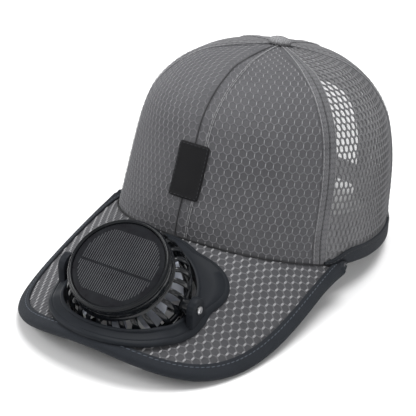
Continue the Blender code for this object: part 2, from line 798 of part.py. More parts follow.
def make_fan_plate(parent, mount):
    """Curved plate on the visor, with a raised lip, a collar down through the visor and
    two upright ears that carry the fan head."""
    collar_foot = clamp_top() - CLAMP_THICKNESS
    loops = []
    for i in range(PLATE_STATIONS):
        angle = 2.0 * pi * i / PLATE_STATIONS
        edge = plate_outline(angle)
        hole, collar = opening_radius(), collar_radius()
        under = tape_lift(angle, edge)
        middle = (collar + edge) / 2.0
        rim = PLATE_BEVEL
        loops.append([
            plate_point(angle, hole, under + PLATE_THICKNESS + LIP_HEIGHT),
            plate_point(angle, collar, under + PLATE_THICKNESS + LIP_HEIGHT - LIP_ROUND / 3.0),
            plate_point(angle, collar + LIP_ROUND, under + PLATE_THICKNESS),
            plate_point(angle, middle, under + PLATE_THICKNESS),
            plate_point(angle, edge - rim, under + PLATE_THICKNESS),
            plate_point(angle, edge, under + PLATE_THICKNESS - rim),
            plate_point(angle, edge, under),
            plate_point(angle, middle, under),
            plate_point(angle, collar, under),
            plate_point(angle, collar, collar_foot),
            plate_point(angle, hole, collar_foot),
        ])
    plate = add_object("fan_plate", swept("fan_plate", loops, closed=True), parent, PLATE_GREY, 0.55)
    for side in (-1.0, 1.0):
        combine(plate, make_ear(side, mount), "UNION")
    for side in (-1.0, 1.0):
        tool = disc_mesh("ear_bore", PIN_RADIUS + BORE_CLEARANCE, ear_inner() - 2.0 * MM,
                         ear_inner() + EAR_THICKNESS + 2.0 * MM, 16)
        bore = cutter("ear_bore_left" if side > 0.0 else "ear_bore_right", tool, mount)
        bore.rotation_euler = (0.0, side * pi / 2.0, 0.0)
        bore.location = (0.0, 0.0, PIVOT_LIFT)
        combine(plate, bore, "DIFFERENCE")


def ear_inner():
    """The inner face of each ear, just outside the housing's boss."""
    return collar_radius() + EAR_CLEARANCE


def make_ear(side, mount):
    """A round topped ear that grows out of the plate, drawn in the pivot's frame."""
    loops = []
    for across in (ear_inner(), ear_inner() + EAR_THICKNESS):
        arch = VISOR_ARCH * (across / visor_half_width()) ** 2 * cos(VISOR_SLOPE)
        foot = GAP + PLATE_THICKNESS / 2.0 - arch
        outline = [(-EAR_RADIUS * 1.15, foot), (EAR_RADIUS * 1.15, foot)]
        for i in range(9):
            turn = pi * i / 8.0
            outline.append((EAR_RADIUS * cos(turn), PIVOT_LIFT + EAR_RADIUS * sin(turn)))
        loops.append([Vector((side * across, y, z)) for y, z in outline])
    return cutter("ear_left" if side > 0.0 else "ear_right", swept("ear", loops), mount)


def make_clamp_ring(parent):
    """A flat ring below the visor that holds the plate's collar."""
    loops = []
    inner = collar_radius() + GAP
    for i in range(CLAMP_STATIONS):
        angle = 2.0 * pi * i / CLAMP_STATIONS
        high, low = clamp_top(), clamp_top() - CLAMP_THICKNESS
        outer = collar_radius() + CLAMP_WIDTH
        loops.append([plate_point(angle, inner, high), plate_point(angle, outer, high),
                      plate_point(angle, outer, low), plate_point(angle, inner, low)])
    add_object("clamp_ring", swept("clamp_ring", loops, closed=True), parent, PLATE_GREY, 0.55)


# Fan head. Local Z is the fan's axis, and the origin is on the tilt axis.

def drum_top():
    return DRUM_FOOT + DRUM_HEIGHT


def cage_profile():
    """Outer radius and height of the cage, from the drum's top edge down to its foot."""
    profile = [(DRUM_RADIUS, drum_top())]
    for outward, height in CAGE_SIDE:
        r = DRUM_RADIUS + (CAGE_RADIUS - DRUM_RADIUS) * outward
        profile.append((r, height * (DRUM_FOOT if height > 0.0 else CAGE_DEPTH)))
    last_r, last_h = profile[-1]
    profile.append((last_r - FOOT_RING_INSET, last_h - FOOT_RING_HEIGHT))
    return profile


def slatted(name, outer, inner, windows, count, share, sweep):
    """A turned wall whose profile runs are cut through by evenly spaced windows.

    outer and inner are lists of radius and height, windows lists the runs left open
    between the slats, and sweep turns the lower end of each slat aside."""
    rows = len(outer)
    stations = 2 * count
    points = []
    for k in range(stations):
        start = 2.0 * pi * (k // 2) / count
        edge = (share if k % 2 else -share) * pi / count
        for rank in range(rows):
            angle = start + edge + sweep * rank / (rows - 1.0)
            for r, h in (outer[rank], inner[rank]):
                points.append(Vector((r * sin(angle), -r * cos(angle), h)))

    def at(k, rank, side):
        return (k % stations) * rows * 2 + rank * 2 + side

    faces = []
    for k in range(stations):
        slat = k % 2 == 0
        for rank in range(rows - 1):
            if slat or rank not in windows:
                for side in (0, 1):
                    faces.append((at(k, rank, side), at(k + 1, rank, side),
                                  at(k + 1, rank + 1, side), at(k, rank + 1, side)))
            if rank in windows:
                faces.append((at(k, rank, 0), at(k, rank + 1, 0), at(k, rank + 1, 1), at(k, rank, 1)))
        for rank in range(rows):
            above = rank > 0 and (slat or rank - 1 not in windows)
            below = rank < rows - 1 and (slat or rank not in windows)
            if above != below:
                faces.append((at(k, rank, 0), at(k + 1, rank, 0), at(k + 1, rank, 1), at(k, rank, 1)))
    return mesh_from(name, points, faces)


def make_cage(head):
    """Drum, shoulder ribs, the band at the pivots and the foot ring, moulded in one."""
    outer = cage_profile()
    inner = [(r - CAGE_WALL, h) for r, h in outer]
    windows = (1, 2, 3, 5, 6)
    wall = slatted("fan_cage", outer, inner, windows, RIB_COUNT, RIB_SHARE, RIB_SWEEP)
    cage = add_object("fan_cage", wall, head, BLACK, 0.22)
    deck_mesh = disc_mesh("deck", DRUM_RADIUS - CAGE_WALL / 2.0, drum_top() - DECK_THICKNESS,
                          drum_top() - 0.2 * MM, 24)
    combine(cage, cutter("cage_deck", deck_mesh, head), "UNION")
    reach = ear_inner() - GAP
    for side in (-1.0, 1.0):
        label = "left" if side > 0.0 else "right"
        boss_mesh = disc_mesh("boss", BOSS_RADIUS, CAGE_RADIUS - CAGE_WALL * 0.7, reach, 20)
        boss = cutter("cage_boss_" + label, boss_mesh, head)
        boss.rotation_euler = (0.0, side * pi / 2.0, 0.0)
        combine(cage, boss, "UNION")
    for side in (-1.0, 1.0):
        label = "left" if side > 0.0 else "right"
        bore_mesh = disc_mesh("bore", PIN_RADIUS + BORE_CLEARANCE, CAGE_RADIUS, reach + 2.0 * MM, 16)
        bore = cutter("cage_bore_" + label, bore_mesh, head)
        bore.rotation_euler = (0.0, side * pi / 2.0, 0.0)
        combine(cage, bore, "DIFFERENCE")


def make_guard(head):
    """The open grille that closes the cage's foot, where the air leaves."""
    foot_r, foot_h = cage_profile()[-1]
    edge = foot_r - CAGE_WALL - GAP
    hub = GUARD_HUB
    radii = [edge, edge - 1.8 * MM, hub]
    low = foot_h + 0.2 * MM
    outer = [(r, low + GUARD_THICKNESS) for r in radii]
    inner = [(r, low) for r in radii]
    grille = slatted("fan_guard", outer, inner, (1,), GUARD_SPOKES, 0.3, 0.0)
    guard = add_object("fan_guard", grille, head, BLACK, 0.3)
    middle = disc_mesh("hub", hub + 0.5 * MM, low, low + GUARD_THICKNESS, 24)
    combine(guard, cutter("guard_hub", middle, head), "UNION")


def make_solar(head):
    low = drum_top() + GAP
    inner = DRUM_RADIUS - BEZEL_WIDTH
    profile = [(DRUM_RADIUS - BEZEL_WIDTH * inward, low + BEZEL_HEIGHT * height) for inward, height in BEZEL_SECTION]
    add_object("solar_bezel", turned("solar_bezel", profile, 36), head, BLACK, 0.3)
    panel = disc_mesh("solar_panel", inner - GAP, low, low + PANEL_THICKNESS, 36)
    add_object("solar_panel", panel, head, (0.02, 0.02, 0.022), 0.25)


def make_motor(head):
    high = drum_top() - DECK_THICKNESS - GAP
    low = high - MOTOR_HEIGHT
    profile = [(SHAFT_RADIUS, low - SHAFT_LENGTH), (SHAFT_RADIUS, low),
               (MOTOR_RADIUS, low), (MOTOR_RADIUS, high)]
    add_object("fan_motor", turned_solid("fan_motor", profile, 16), head, (0.5, 0.5, 0.52), 0.35, 0.9)


def make_rotor(head):
    """Hub with swept blades, on the motor's shaft. Its origin is on the fan's axis."""
    motor_low = drum_top() - DECK_THICKNESS - GAP - MOTOR_HEIGHT
    high = motor_low - 2.0 * GAP
    foot_h = cage_profile()[-1][1] + GUARD_THICKNESS
    low = foot_h + 2.0 * GAP + 0.6 * MM
    bore = SHAFT_RADIUS + BORE_CLEARANCE
    profile = [(bore, low), (ROTOR_HUB_RADIUS, low), (ROTOR_HUB_RADIUS, high - 1.0 * MM),
               (ROTOR_HUB_RADIUS - 1.0 * MM, high), (bore, high)]
    rotor = add_object("fan_rotor", turned("fan_rotor", profile, 21), head, (0.45, 0.46, 0.47), 0.3)
    tip = CAGE_RADIUS - CAGE_WALL - BLADE_CLEARANCE
    root = ROTOR_HUB_RADIUS - BLADE_ROOT_DEPTH
    tool = cutter("rotor_blades", blades_mesh(root, tip, low, high), head)
    combine(rotor, tool, "UNION")


def blades_mesh(root, tip, low, high):
    """All blades as one set of thin twisted plates, leaned so that they push air down."""
    joined = bmesh.new()
    chord_rows, radial_columns = 2, 3
    for blade in range(BLADE_COUNT):
        upper, under = [], []
        for i in range(chord_rows + 1):
            along = i / chord_rows
            upper.append([])
            under.append([])
            for j in range(radial_columns + 1):
                out = j / radial_columns
                r = root + (tip - root) * out
                lean = BLADE_LEAN / r * (along - 0.5) * (1.0 + BLADE_FLARE * out)
                angle = 2.0 * pi * blade / BLADE_COUNT + lean + BLADE_SWEEP * out
                h = low + BLADE_MARGIN + (high - low - 2.0 * BLADE_MARGIN) * along
                direction = Vector((cos(angle), sin(angle), 0.0))
                middle = Vector((r * sin(angle), -r * cos(angle), h))
                upper[-1].append(middle + direction * BLADE_THICKNESS / 2.0)
                under[-1].append(middle - direction * BLADE_THICKNESS / 2.0)
        one = plate_between("blade", upper, under, radial_columns + 1, chord_rows + 1)
        joined.from_mesh(one)
        bpy.data.meshes.remove(one)
    mesh_data = bpy.data.meshes.new("rotor_blades")
    joined.to_mesh(mesh_data)
    joined.free()
    return mesh_data


def make_screws(mount):
    """Plain pivot screws through the ears into the cage's bosses."""
    face = ear_inner() + EAR_THICKNESS + GAP
    profile = [(PIN_RADIUS, CAGE_RADIUS + GAP), (PIN_RADIUS, face), (SCREW_HEAD_RADIUS, face),
               (SCREW_HEAD_RADIUS, face + SCREW_HEAD_HEIGHT * 0.6),
               (SCREW_HEAD_RADIUS * 0.7, face + SCREW_HEAD_HEIGHT)]
    for side in (-1.0, 1.0):
        name = "pivot_screw_left" if side > 0.0 else "pivot_screw_right"
        screw = add_object(name, turned_solid(name, profile, 12), mount, (0.6, 0.6, 0.62), 0.3, 1.0)
        screw.location = (0.0, 0.0, PIVOT_LIFT)
        screw.rotation_euler = (0.0, side * pi / 2.0, 0.0)


# Resting on a floor

def world_points():
    graph = bpy.context.evaluated_depsgraph_get()
    points = []
    for thing in bpy.context.scene.objects:
        if thing.type == "MESH" and not thing.hide_render:
            seen = thing.evaluated_get(graph)
            points += [seen.matrix_world @ vertex.co for vertex in seen.data.vertices]
    return points


def rest_on_floor(root):
    """Leans the cap until its lowest front and rear points are level, then sets it down with
    the origin under the middle of its box."""
    bpy.context.view_layer.update()
    points = world_points()
    front = [p for p in points if p.y < 0.0]
    rear = [p for p in points if p.y >= 0.0]
    low, high = radians(-45.0), radians(45.0)
    for _ in range(40):
        lean = (low + high) / 2.0
        front_low = min(p.y * sin(lean) + p.z * cos(lean) for p in front)
        rear_low = min(p.y * sin(lean) + p.z * cos(lean) for p in rear)
        if front_low > rear_low:
            low = lean
        else:
            high = lean
    root.rotation_euler = (lean, 0.0, 0.0)
    turned_points = [Matrix.Rotation(lean, 4, "X") @ p for p in points]
    middle = (min(p.y for p in turned_points) + max(p.y for p in turned_points)) / 2.0
    root.location = (0.0, -middle, -min(p.z for p in turned_points))


def main():
    for thing in list(bpy.data.objects):
        bpy.data.objects.remove(thing, do_unlink=True)
    root = empty("cap", None)
    mount = empty("fan_mount", root, fan_place(), VISOR_SLOPE)
    head = empty("fan_head", mount, (0.0, 0.0, PIVOT_LIFT), HEAD_TILT)
    make_crown(root)
    make_button(root)
    make_patch(root)
    make_base_binding("base_binding_left", 1.0, root)
    make_base_binding("base_binding_right", -1.0, root)
    make_rear_binding(root)
    make_straps(root)
    make_sweatband(root)
    cut_fan_hole([make_visor(root), make_visor_binding(root)], mount)
    make_fan_plate(root, mount)
    make_clamp_ring(root)
    make_cage(head)
    make_guard(head)
    make_solar(head)
    make_motor(head)
    make_rotor(head)
    make_screws(mount)
    rest_on_floor(root)


main()
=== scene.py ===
# Looks of the solar fan hat: cloth, tape, stitches, plastics and light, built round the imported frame.
# Lengths are in metres. The cap's own frame is the one it was drawn in, before it was leaned
# back to rest on the floor: the visor's front is toward -Y and the wearer's left toward +X.

import json
import math
import numpy as np
import bpy
import bmesh
from mathutils import Matrix, Vector


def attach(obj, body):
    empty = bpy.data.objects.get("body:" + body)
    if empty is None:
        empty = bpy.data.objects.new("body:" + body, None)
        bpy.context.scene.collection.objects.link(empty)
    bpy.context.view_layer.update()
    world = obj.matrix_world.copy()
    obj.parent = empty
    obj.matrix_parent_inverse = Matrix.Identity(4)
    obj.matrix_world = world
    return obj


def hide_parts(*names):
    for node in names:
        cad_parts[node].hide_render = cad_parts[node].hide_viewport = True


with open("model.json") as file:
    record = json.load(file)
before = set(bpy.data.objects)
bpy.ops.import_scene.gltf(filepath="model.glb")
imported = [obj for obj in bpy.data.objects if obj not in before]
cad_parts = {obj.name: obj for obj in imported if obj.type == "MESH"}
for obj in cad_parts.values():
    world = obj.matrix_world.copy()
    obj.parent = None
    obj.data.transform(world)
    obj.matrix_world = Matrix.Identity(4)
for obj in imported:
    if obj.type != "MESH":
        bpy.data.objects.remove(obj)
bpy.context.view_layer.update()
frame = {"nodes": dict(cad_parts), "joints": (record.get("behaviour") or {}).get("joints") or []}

mm = 0.001
randomDraws = np.random.default_rng(7)

# Sizes of the crown, as in the solids
crown = {
    "halfWidth": 78.7 * mm, "front": 104.6 * mm, "back": 104.3 * mm, "height": 113.1 * mm,
    "apexForward": 6.1 * mm, "frontWall": 2.0 * mm, "netWall": 1.6 * mm, "topHole": 3.0 * mm,
    "tapeHigh": 9.0 * mm, "seamSide": 60.5, "seamRear": 120.0,
}
# height share, front, side and back shares
crownSections = np.array([
    (0.00, 1.000, 1.000, 1.000), (0.14, 0.990, 0.971, 1.024), (0.28, 0.953, 0.956, 1.022),
    (0.42, 0.915, 0.940, 0.986), (0.56, 0.884, 0.910, 0.914), (0.69, 0.842, 0.857, 0.830),
    (0.80, 0.758, 0.759, 0.726), (0.89, 0.636, 0.623, 0.599), (0.96, 0.454, 0.419, 0.401),
    (1.00, 0.000, 0.000, 0.000),
])
opening = {"turn": math.radians(20.0), "height": 77.0 * mm, "exponent": 3.0, "tape": 6.0 * mm}
visor = {
    "rise": 14.7 * mm, "slope": math.radians(23.0), "arch": 38.5 * mm, "overhang": 0.7 * mm,
    "margin": 1.4 * mm, "endSetback": 60.8 * mm, "endAngle": math.radians(74.0), "endWidth": 1.0 * mm,
    "endThickness": 0.5 * mm, "endLift": 1.5 * mm, "thickness": 3.0 * mm, "dip": 14.5 * mm,
    "dipExponent": 8, "fade": 40.0 * mm, "tape": 10.5 * mm, "tapeThickness": 1.0 * mm,
    "sideEnd": 0.93, "sideExponent": 2.3, "frontExponent": 3.7, "gap": 0.3 * mm,
}
plate = {
    "crownGap": 2.0 * mm, "rim": 9.0 * mm, "thickness": 2.2 * mm, "lip": 1.4 * mm, "lipWidth": 1.7 * mm,
    "opening": 36.2 * mm, "lobeReach": 9.2 * mm, "lobeAngle": math.radians(129.0),
    "lobeSpread": math.radians(27.0), "tapeCleared": 12.0 * mm, "tapeRamp": 8.0 * mm,
    "earRadius": 6.5 * mm, "earThickness": 4.4 * mm, "earClearance": 1.0 * mm, "clampDrop": 4.9 * mm,
    "clampThickness": 2.0 * mm, "pivotLift": 0.5 * mm, "headTilt": math.radians(20.0),
}
head = {
    "cageRadius": 34.4 * mm, "cageWall": 1.8 * mm, "cageDepth": 9.5 * mm, "drumRadius": 28.2 * mm,
    "drumFoot": 13.6 * mm, "drumHeight": 6.6 * mm, "bezelWidth": 2.3 * mm, "bezelHeight": 3.6 * mm,
    "panelThickness": 2.4 * mm, "ribs": 28, "ribShare": 0.42, "ribSweep": math.radians(7.0),
    "bossRadius": 4.1 * mm,
}


# Small helpers

def smoothStep(t):
    t = np.clip(t, 0.0, 1.0)
    return t * t * (3.0 - 2.0 * t)


def unit(v):
    return v / np.maximum(np.linalg.norm(v, axis=-1, keepdims=True), 1e-12)


def power(value, exponent):
    return np.sign(value) * np.abs(value) ** exponent


def vectors(x, y, z):
    x, y, z = np.broadcast_arrays(x, y, z)
    return np.stack([x, y, z], axis=-1)


def pairs(x, y):
    return np.stack(np.broadcast_arrays(x, y), axis=-1)


def fullTurn(count):
    return np.linspace(0.0, 2.0 * math.pi, count, endpoint=False)


def smoothCurve(table, i, t):
    # A smooth line through the table's rows, t of the way on from row i + 1.
    a, b, c, d = table[i], table[i + 1], table[i + 2], table[i + 3]
    return 0.5 * (2.0 * b + (c - a) * t + (2.0 * a - 5.0 * b + 4.0 * c - d) * t ** 2
                  + (3.0 * b - a - 3.0 * c + d) * t ** 3)


def arcLength(points):
    steps = np.linalg.norm(np.diff(points, axis=0), axis=1)
    return np.concatenate([[0.0], np.cumsum(steps)])


# Crown surface

def sectionShares(row):
    row = np.asarray(row, float)
    last = len(crownSections) - 1
    i = np.clip(np.floor(row).astype(int), 0, last - 1)
    t = (row - i)[..., None]
    low = 2.0 * crownSections[0] - crownSections[1]
    high = crownSections[-2] * np.array([1.0, -1.0, -1.0, -1.0])
    table = np.vstack([low, crownSections, high])
    return smoothCurve(table, i, t)


lastRow = len(crownSections) - 1.0
rowTable = np.linspace(0.0, lastRow, 1801)
heightTable = sectionShares(rowTable)[:, 0]
visorEnd = visor["endSetback"] - crown["front"]
visorHalf = crown["halfWidth"] + visor["overhang"]


def visorHeight(x, y):
    slope = math.tan(visor["slope"]) * (y + crown["front"])
    return visor["rise"] + slope - visor["arch"] * (x / visorHalf) ** 2


def basePlan(angle):
    length = np.where(np.cos(angle) > 0.0, crown["front"], crown["back"])
    return crown["halfWidth"] * np.sin(angle), -length * np.cos(angle)


def creaseHeight(angle):
    x, y = basePlan(angle)
    fade = smoothStep((visorEnd - y) / visor["fade"] + 1.0)
    return fade * (visorHeight(x, y) - visor["dip"] * np.abs(np.sin(angle)) ** visor["dipExponent"])


def crownEdgeHeight(angle):
    turn = np.abs((angle + math.pi) % (2.0 * math.pi) - math.pi)
    taped = smoothStep((turn - visor["endAngle"]) / math.radians(10.0) + 2.0)
    board = visor["thickness"] + visor["gap"]
    return creaseHeight(angle) - board * (1.0 - taped) + (visor["tapeThickness"] + visor["gap"]) * taped


def crownPlain(angle, row):
    shares = sectionShares(row)
    length = np.where(np.cos(angle) > 0.0, crown["front"] * shares[..., 1], crown["back"] * shares[..., 3])
    edge = crownEdgeHeight(angle)
    height = shares[..., 0]
    return vectors(crown["halfWidth"] * shares[..., 2] * np.sin(angle),
                   -length * np.cos(angle) - crown["apexForward"] * height,
                   edge + (crown["height"] - edge) * height)


def crownFrame(angle, row):
    # Point on the crown's outer face, the way round it and the way out of it.
    angle, row = np.broadcast_arrays(np.asarray(angle, float), np.asarray(row, float))
    step = 0.01
    across = crownPlain(angle + step, row) - crownPlain(angle - step, row)
    up = crownPlain(angle, np.minimum(row + step, lastRow)) - crownPlain(angle, np.maximum(row - step, 0.0))
    return crownPlain(angle, row), unit(across), unit(np.cross(across, up))


def crownPoint(angle, row, outward=0.0, aside=0.0):
    point, across, out = crownFrame(angle, row)
    return point + out * np.asarray(outward)[..., None] + across * np.asarray(aside)[..., None]


def rowAtHeight(angle, height):
    # The row at which the crown is this far above its panels' lower edge.
    share = np.asarray(height) / (crown["height"] - crownEdgeHeight(angle))
    return np.interp(share, heightTable, rowTable)


topRow = float(np.interp(crown["topHole"], (crown["halfWidth"] * sectionShares(rowTable)[:, 2])[::-1][:200],
                         rowTable[::-1][:200]))
tapeTop = crown["tapeHigh"] - visor["tapeThickness"] - visor["gap"]


# Visor surface, by a share from -1 to 1 across it and a share from its outer edge inward

def runIn(share):
    return np.maximum(np.abs(share) - visor["sideEnd"], 0.0) / (1.0 - visor["sideEnd"])


def innerPlan(share):
    x, y = basePlan(share * visor["endAngle"])
    out = unit(np.stack([x / crown["halfWidth"] ** 2, y / crown["front"] ** 2], axis=-1))
    return np.stack([x, y], axis=-1) + out * visor["gap"]


plateRadius = plate["opening"] + plate["rim"]
visorReach = plate["crownGap"] + 2.0 * plateRadius * math.cos(visor["slope"]) + visor["margin"]


def outlinePlan(share):
    share = np.asarray(share, float)
    along = np.minimum(np.abs(share) / visor["sideEnd"], 1.0)
    turn = np.sign(share) * math.pi / 2.0 * (1.0 - (1.0 - along) ** (visor["frontExponent"] / 2.0))
    x = visorHalf * power(np.sin(turn), 2.0 / visor["sideExponent"])
    depth = crown["front"] + visorReach + visorEnd
    y = visorEnd - depth * np.maximum(np.cos(turn), 0.0) ** (2.0 / visor["frontExponent"])
    end = innerPlan(np.where(share < 0.0, -1.0, 1.0))
    end = end + unit(end / np.array([crown["halfWidth"], crown["front"]])) * visor["endWidth"]
    blend = runIn(share)[..., None]
    return np.stack([x, y], axis=-1) * (1.0 - blend) + end * blend


def visorPlan(share, inward):
    inward = np.asarray(inward)[..., None]
    return outlinePlan(share) * (1.0 - inward) + innerPlan(share) * inward


def visorTop(share, inward):
    share, inward = np.broadcast_arrays(np.asarray(share, float), np.asarray(inward, float))
    plan = visorPlan(share, inward)
    x, y = basePlan(share * visor["endAngle"])
    dip = creaseHeight(share * visor["endAngle"]) - visorHeight(x, y)
    z = visorHeight(plan[..., 0], plan[..., 1]) + dip * np.maximum(inward, runIn(share))
    return vectors(plan[..., 0], plan[..., 1], z + visor["endLift"] * runIn(share))


def visorFrame(share, inward):
    share, inward = np.broadcast_arrays(np.asarray(share, float), np.asarray(inward, float))
    step = 0.004
    a = np.clip(share, step - 1.0, 1.0 - step)
    across = unit(visorTop(a + step, inward) - visorTop(a - step, inward))
    along = visorTop(share, inward + step) - visorTop(share, inward - step)
    normal = unit(np.cross(across, along))
    upright = smoothStep((inward - 0.6) / 0.4)[..., None]
    upward = np.array([0.0, 0.0, 1.0]) / normal[..., 2:3]
    return visorTop(share, inward), across, normal * (1.0 - upright) + upward * upright


def visorPoint(share, inward, height):
    point, _, out = visorFrame(share, inward)
    return point + out * np.asarray(height)[..., None]


def inwardShare(share, width):
    # How far in from the outer edge this width reaches, measured square to the edge.
    step = 0.004
    a = np.clip(share, step - 1.0, 1.0 - step)
    edge = unit(outlinePlan(a + step) - outlinePlan(a - step))
    line = innerPlan(share) - outlinePlan(share)
    square = np.abs(line[..., 0] * edge[..., 1] - line[..., 1] * edge[..., 0])
    return np.minimum(width / square, 1.0 - 0.6 * mm / np.linalg.norm(line, axis=-1))


def visorDepth(share):
    return visor["thickness"] + (visor["endThickness"] - visor["thickness"]) * runIn(share)


def visorShares(steps=120, ends=14):
    middle = np.linspace(-visor["sideEnd"], visor["sideEnd"], steps + 1)
    end = np.linspace(visor["sideEnd"], 1.0, ends + 1)[1:]
    return np.concatenate([-end[::-1], middle, end])


visorSearch = {"across": 80, "inward": 20, "batch": 2000, "rounds": 5, "step": 1e-4}


def findOnVisor(plan):
    # Shares across and inward of points given from above, found by Newton steps.
    shape = plan.shape[:-1]
    plan = plan.reshape(-1, 2)
    across = np.linspace(-0.99, 0.99, visorSearch["across"])
    share, inward = np.meshgrid(across, np.linspace(0.0, 1.0, visorSearch["inward"]), indexing="ij")
    share, inward = share.ravel(), inward.ravel()
    grid = visorPlan(share, inward)
    nearest = np.concatenate([
        np.argmin(((part[:, None, :] - grid[None]) ** 2).sum(axis=2), axis=1)
        for part in np.array_split(plan, 1 + len(plan) // visorSearch["batch"])])
    a, b = share[nearest], inward[nearest]
    step = visorSearch["step"]
    for _ in range(visorSearch["rounds"]):
        here = visorPlan(a, b)
        da = (visorPlan(a + step, b) - here) / step
        db = (visorPlan(a, b + step) - here) / step
        miss = plan - here
        scale = da[:, 0] * db[:, 1] - da[:, 1] * db[:, 0]
        scale = np.where(np.abs(scale) < 1e-9, 1e-9, scale)
        a = np.clip(a + (miss[:, 0] * db[:, 1] - miss[:, 1] * db[:, 0]) / scale, -0.999, 0.999)
        b = np.clip(b + (da[:, 0] * miss[:, 1] - da[:, 1] * miss[:, 0]) / scale, 0.0, 1.0)
    return a.reshape(shape), b.reshape(shape)


# Places of the cap and of the fan head in the world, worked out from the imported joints

fanForward = crown["front"] + plate["crownGap"] + plateRadius * math.cos(visor["slope"])
fanPlace = np.array([0.0, -fanForward, visorHeight(0.0, -fanForward)])
tiltJoint = next(j for j in frame["joints"] if j["name"] == "fan_tilt")
spinJoint = next(j for j in frame["joints"] if j["name"] == "rotor_spin")
headTurn = math.atan2(-spinJoint["axis"][1], spinJoint["axis"][2])
capLean = headTurn - visor["slope"] - plate["headTilt"]
slopeUp = np.array([0.0, -math.sin(visor["slope"]), math.cos(visor["slope"])])
pivotInCap = Vector(fanPlace + slopeUp * plate["pivotLift"])
capTurn = Matrix.Rotation(capLean, 4, "X")
capMatrix = Matrix.Translation(Vector(tiltJoint["pos_m"]) - capTurn @ pivotInCap) @ capTurn
mountMatrix = capMatrix @ Matrix.Translation(pivotInCap) @ Matrix.Rotation(visor["slope"], 4, "X")
headMatrix = mountMatrix @ Matrix.Rotation(plate["headTilt"], 4, "X")


# Mesh building. A bag gathers parts, then becomes one object.

def newBag():
    return {"points": [], "faces": [], "slots": [], "flat": [], "count": 0}


def addPart(bag, points, faces, slot=0, flat=None):
    points = np.asarray(points, float).reshape(-1, 3)
    bag["points"].append(points)
    flat = np.zeros((len(points), 2)) if flat is None else np.asarray(flat, float).reshape(-1, 2)
    bag["flat"].append(flat)
    bag["faces"].append(np.asarray(faces, int) + bag["count"])
    bag["slots"].append(np.full(len(faces), slot))
    bag["count"] += len(points)


def gridFaces(rows, columns, closedAcross=False, closedAlong=False):
    i, j = np.meshgrid(np.arange(rows if closedAlong else rows - 1),
                       np.arange(columns if closedAcross else columns - 1), indexing="ij")
    nextI, nextJ = (i + 1) % rows, (j + 1) % columns
    quads = [i * columns + j, i * columns + nextJ, nextI * columns + nextJ, nextI * columns + j]
    return np.stack(quads, axis=-1).reshape(-1, 4)


def addWall(bag, outer, inner, flat=None, keep=None):
    # A closed wall between two equal grids of points; keep leaves faces out by their middles.
    rows, columns = outer.shape[:2]
    faces = gridFaces(rows, columns)
    if keep is not None:
        faces = faces[keep(outer.reshape(-1, 3)[faces].mean(axis=1))]
    addPart(bag, outer, faces, 0, flat)
    addPart(bag, inner, faces[:, ::-1], 0, flat)
    rim = list(range(columns)) + [i * columns + columns - 1 for i in range(1, rows)]
    rim += [(rows - 1) * columns + j for j in range(columns - 2, -1, -1)]
    rim += [i * columns for i in range(rows - 2, 0, -1)]
    edge = np.stack([outer.reshape(-1, 3)[rim], inner.reshape(-1, 3)[rim]])
    flatRim = None if flat is None else np.stack([np.reshape(flat, (-1, 2))[rim]] * 2)
    addPart(bag, edge, gridFaces(2, len(rim), closedAcross=True), 0, flatRim)


def addSweep(bag, loops, closed=False, flat=None):
    # Equal closed sections along a path; the ends are filled unless the path closes.
    count, size = loops.shape[:2]
    addPart(bag, loops, gridFaces(count, size, closedAcross=True, closedAlong=closed), 0, flat)
    if not closed:
        pairs = np.arange(size // 2 - 1)
        cap = np.stack([pairs, pairs + 1, size - 2 - pairs, size - 1 - pairs], axis=-1)
        for end, turn in ((0, -1), (count - 1, 1)):
            ends = None if flat is None else flat[end]
            addPart(bag, loops[end], cap[:, ::turn], 0, ends)


def fanFaces(count):
    # Triangles from a ring of points to the one that follows them.
    i = np.arange(count)
    return np.stack([i, (i + 1) % count, np.full(count, count)], axis=-1)


def turnedPoints(profile, segments):
    angles = fullTurn(segments)
    r, h = np.asarray(profile, float).T
    return vectors(np.sin(angles)[:, None] * r, -np.cos(angles)[:, None] * r, np.ones((segments, 1)) * h)


def addTurned(bag, profile, segments, closedProfile=True):
    loops = turnedPoints(profile, segments)
    addPart(bag, loops, gridFaces(segments, len(profile), closedAcross=closedProfile, closedAlong=True))


def addDisc(bag, radius, height, segments):
    loops = turnedPoints([(radius, height)], segments)
    addPart(bag, np.vstack([loops.reshape(-1, 3), [[0.0, 0.0, height]]]), fanFaces(segments))


def addBeads(bag, place, starts, directions, length, width, height, slot=0, sunk=0.25):
    # Small rounded bars on a surface. place maps flat positions and a height to points.
    along = np.array([-0.5, -0.42, -0.2, 0.2, 0.42, 0.5])
    swell = np.array([0.25, 0.75, 1.0, 1.0, 0.75, 0.25])
    turns = np.linspace(0.0, math.pi, 5)
    side = np.stack([-directions[:, 1], directions[:, 0]], axis=-1)
    t = along[None, :, None, None] * length
    s = (swell[:, None] * np.cos(turns)[None])[None, :, :, None] * width / 2.0
    flat = starts[:, None, None] + directions[:, None, None] * t + side[:, None, None] * s
    rise = swell[:, None] * np.sin(turns)[None] * height - sunk * height * (1.0 - swell[:, None])
    points = place(flat, np.broadcast_to(rise[None], flat.shape[:-1]))
    faces = gridFaces(len(along), len(turns))
    size = len(along) * len(turns)
    every = (faces[None] + np.arange(len(starts))[:, None, None] * size).reshape(-1, 4)
    addPart(bag, points, every, slot, flat / mm)


strayThread = 0.025 * mm


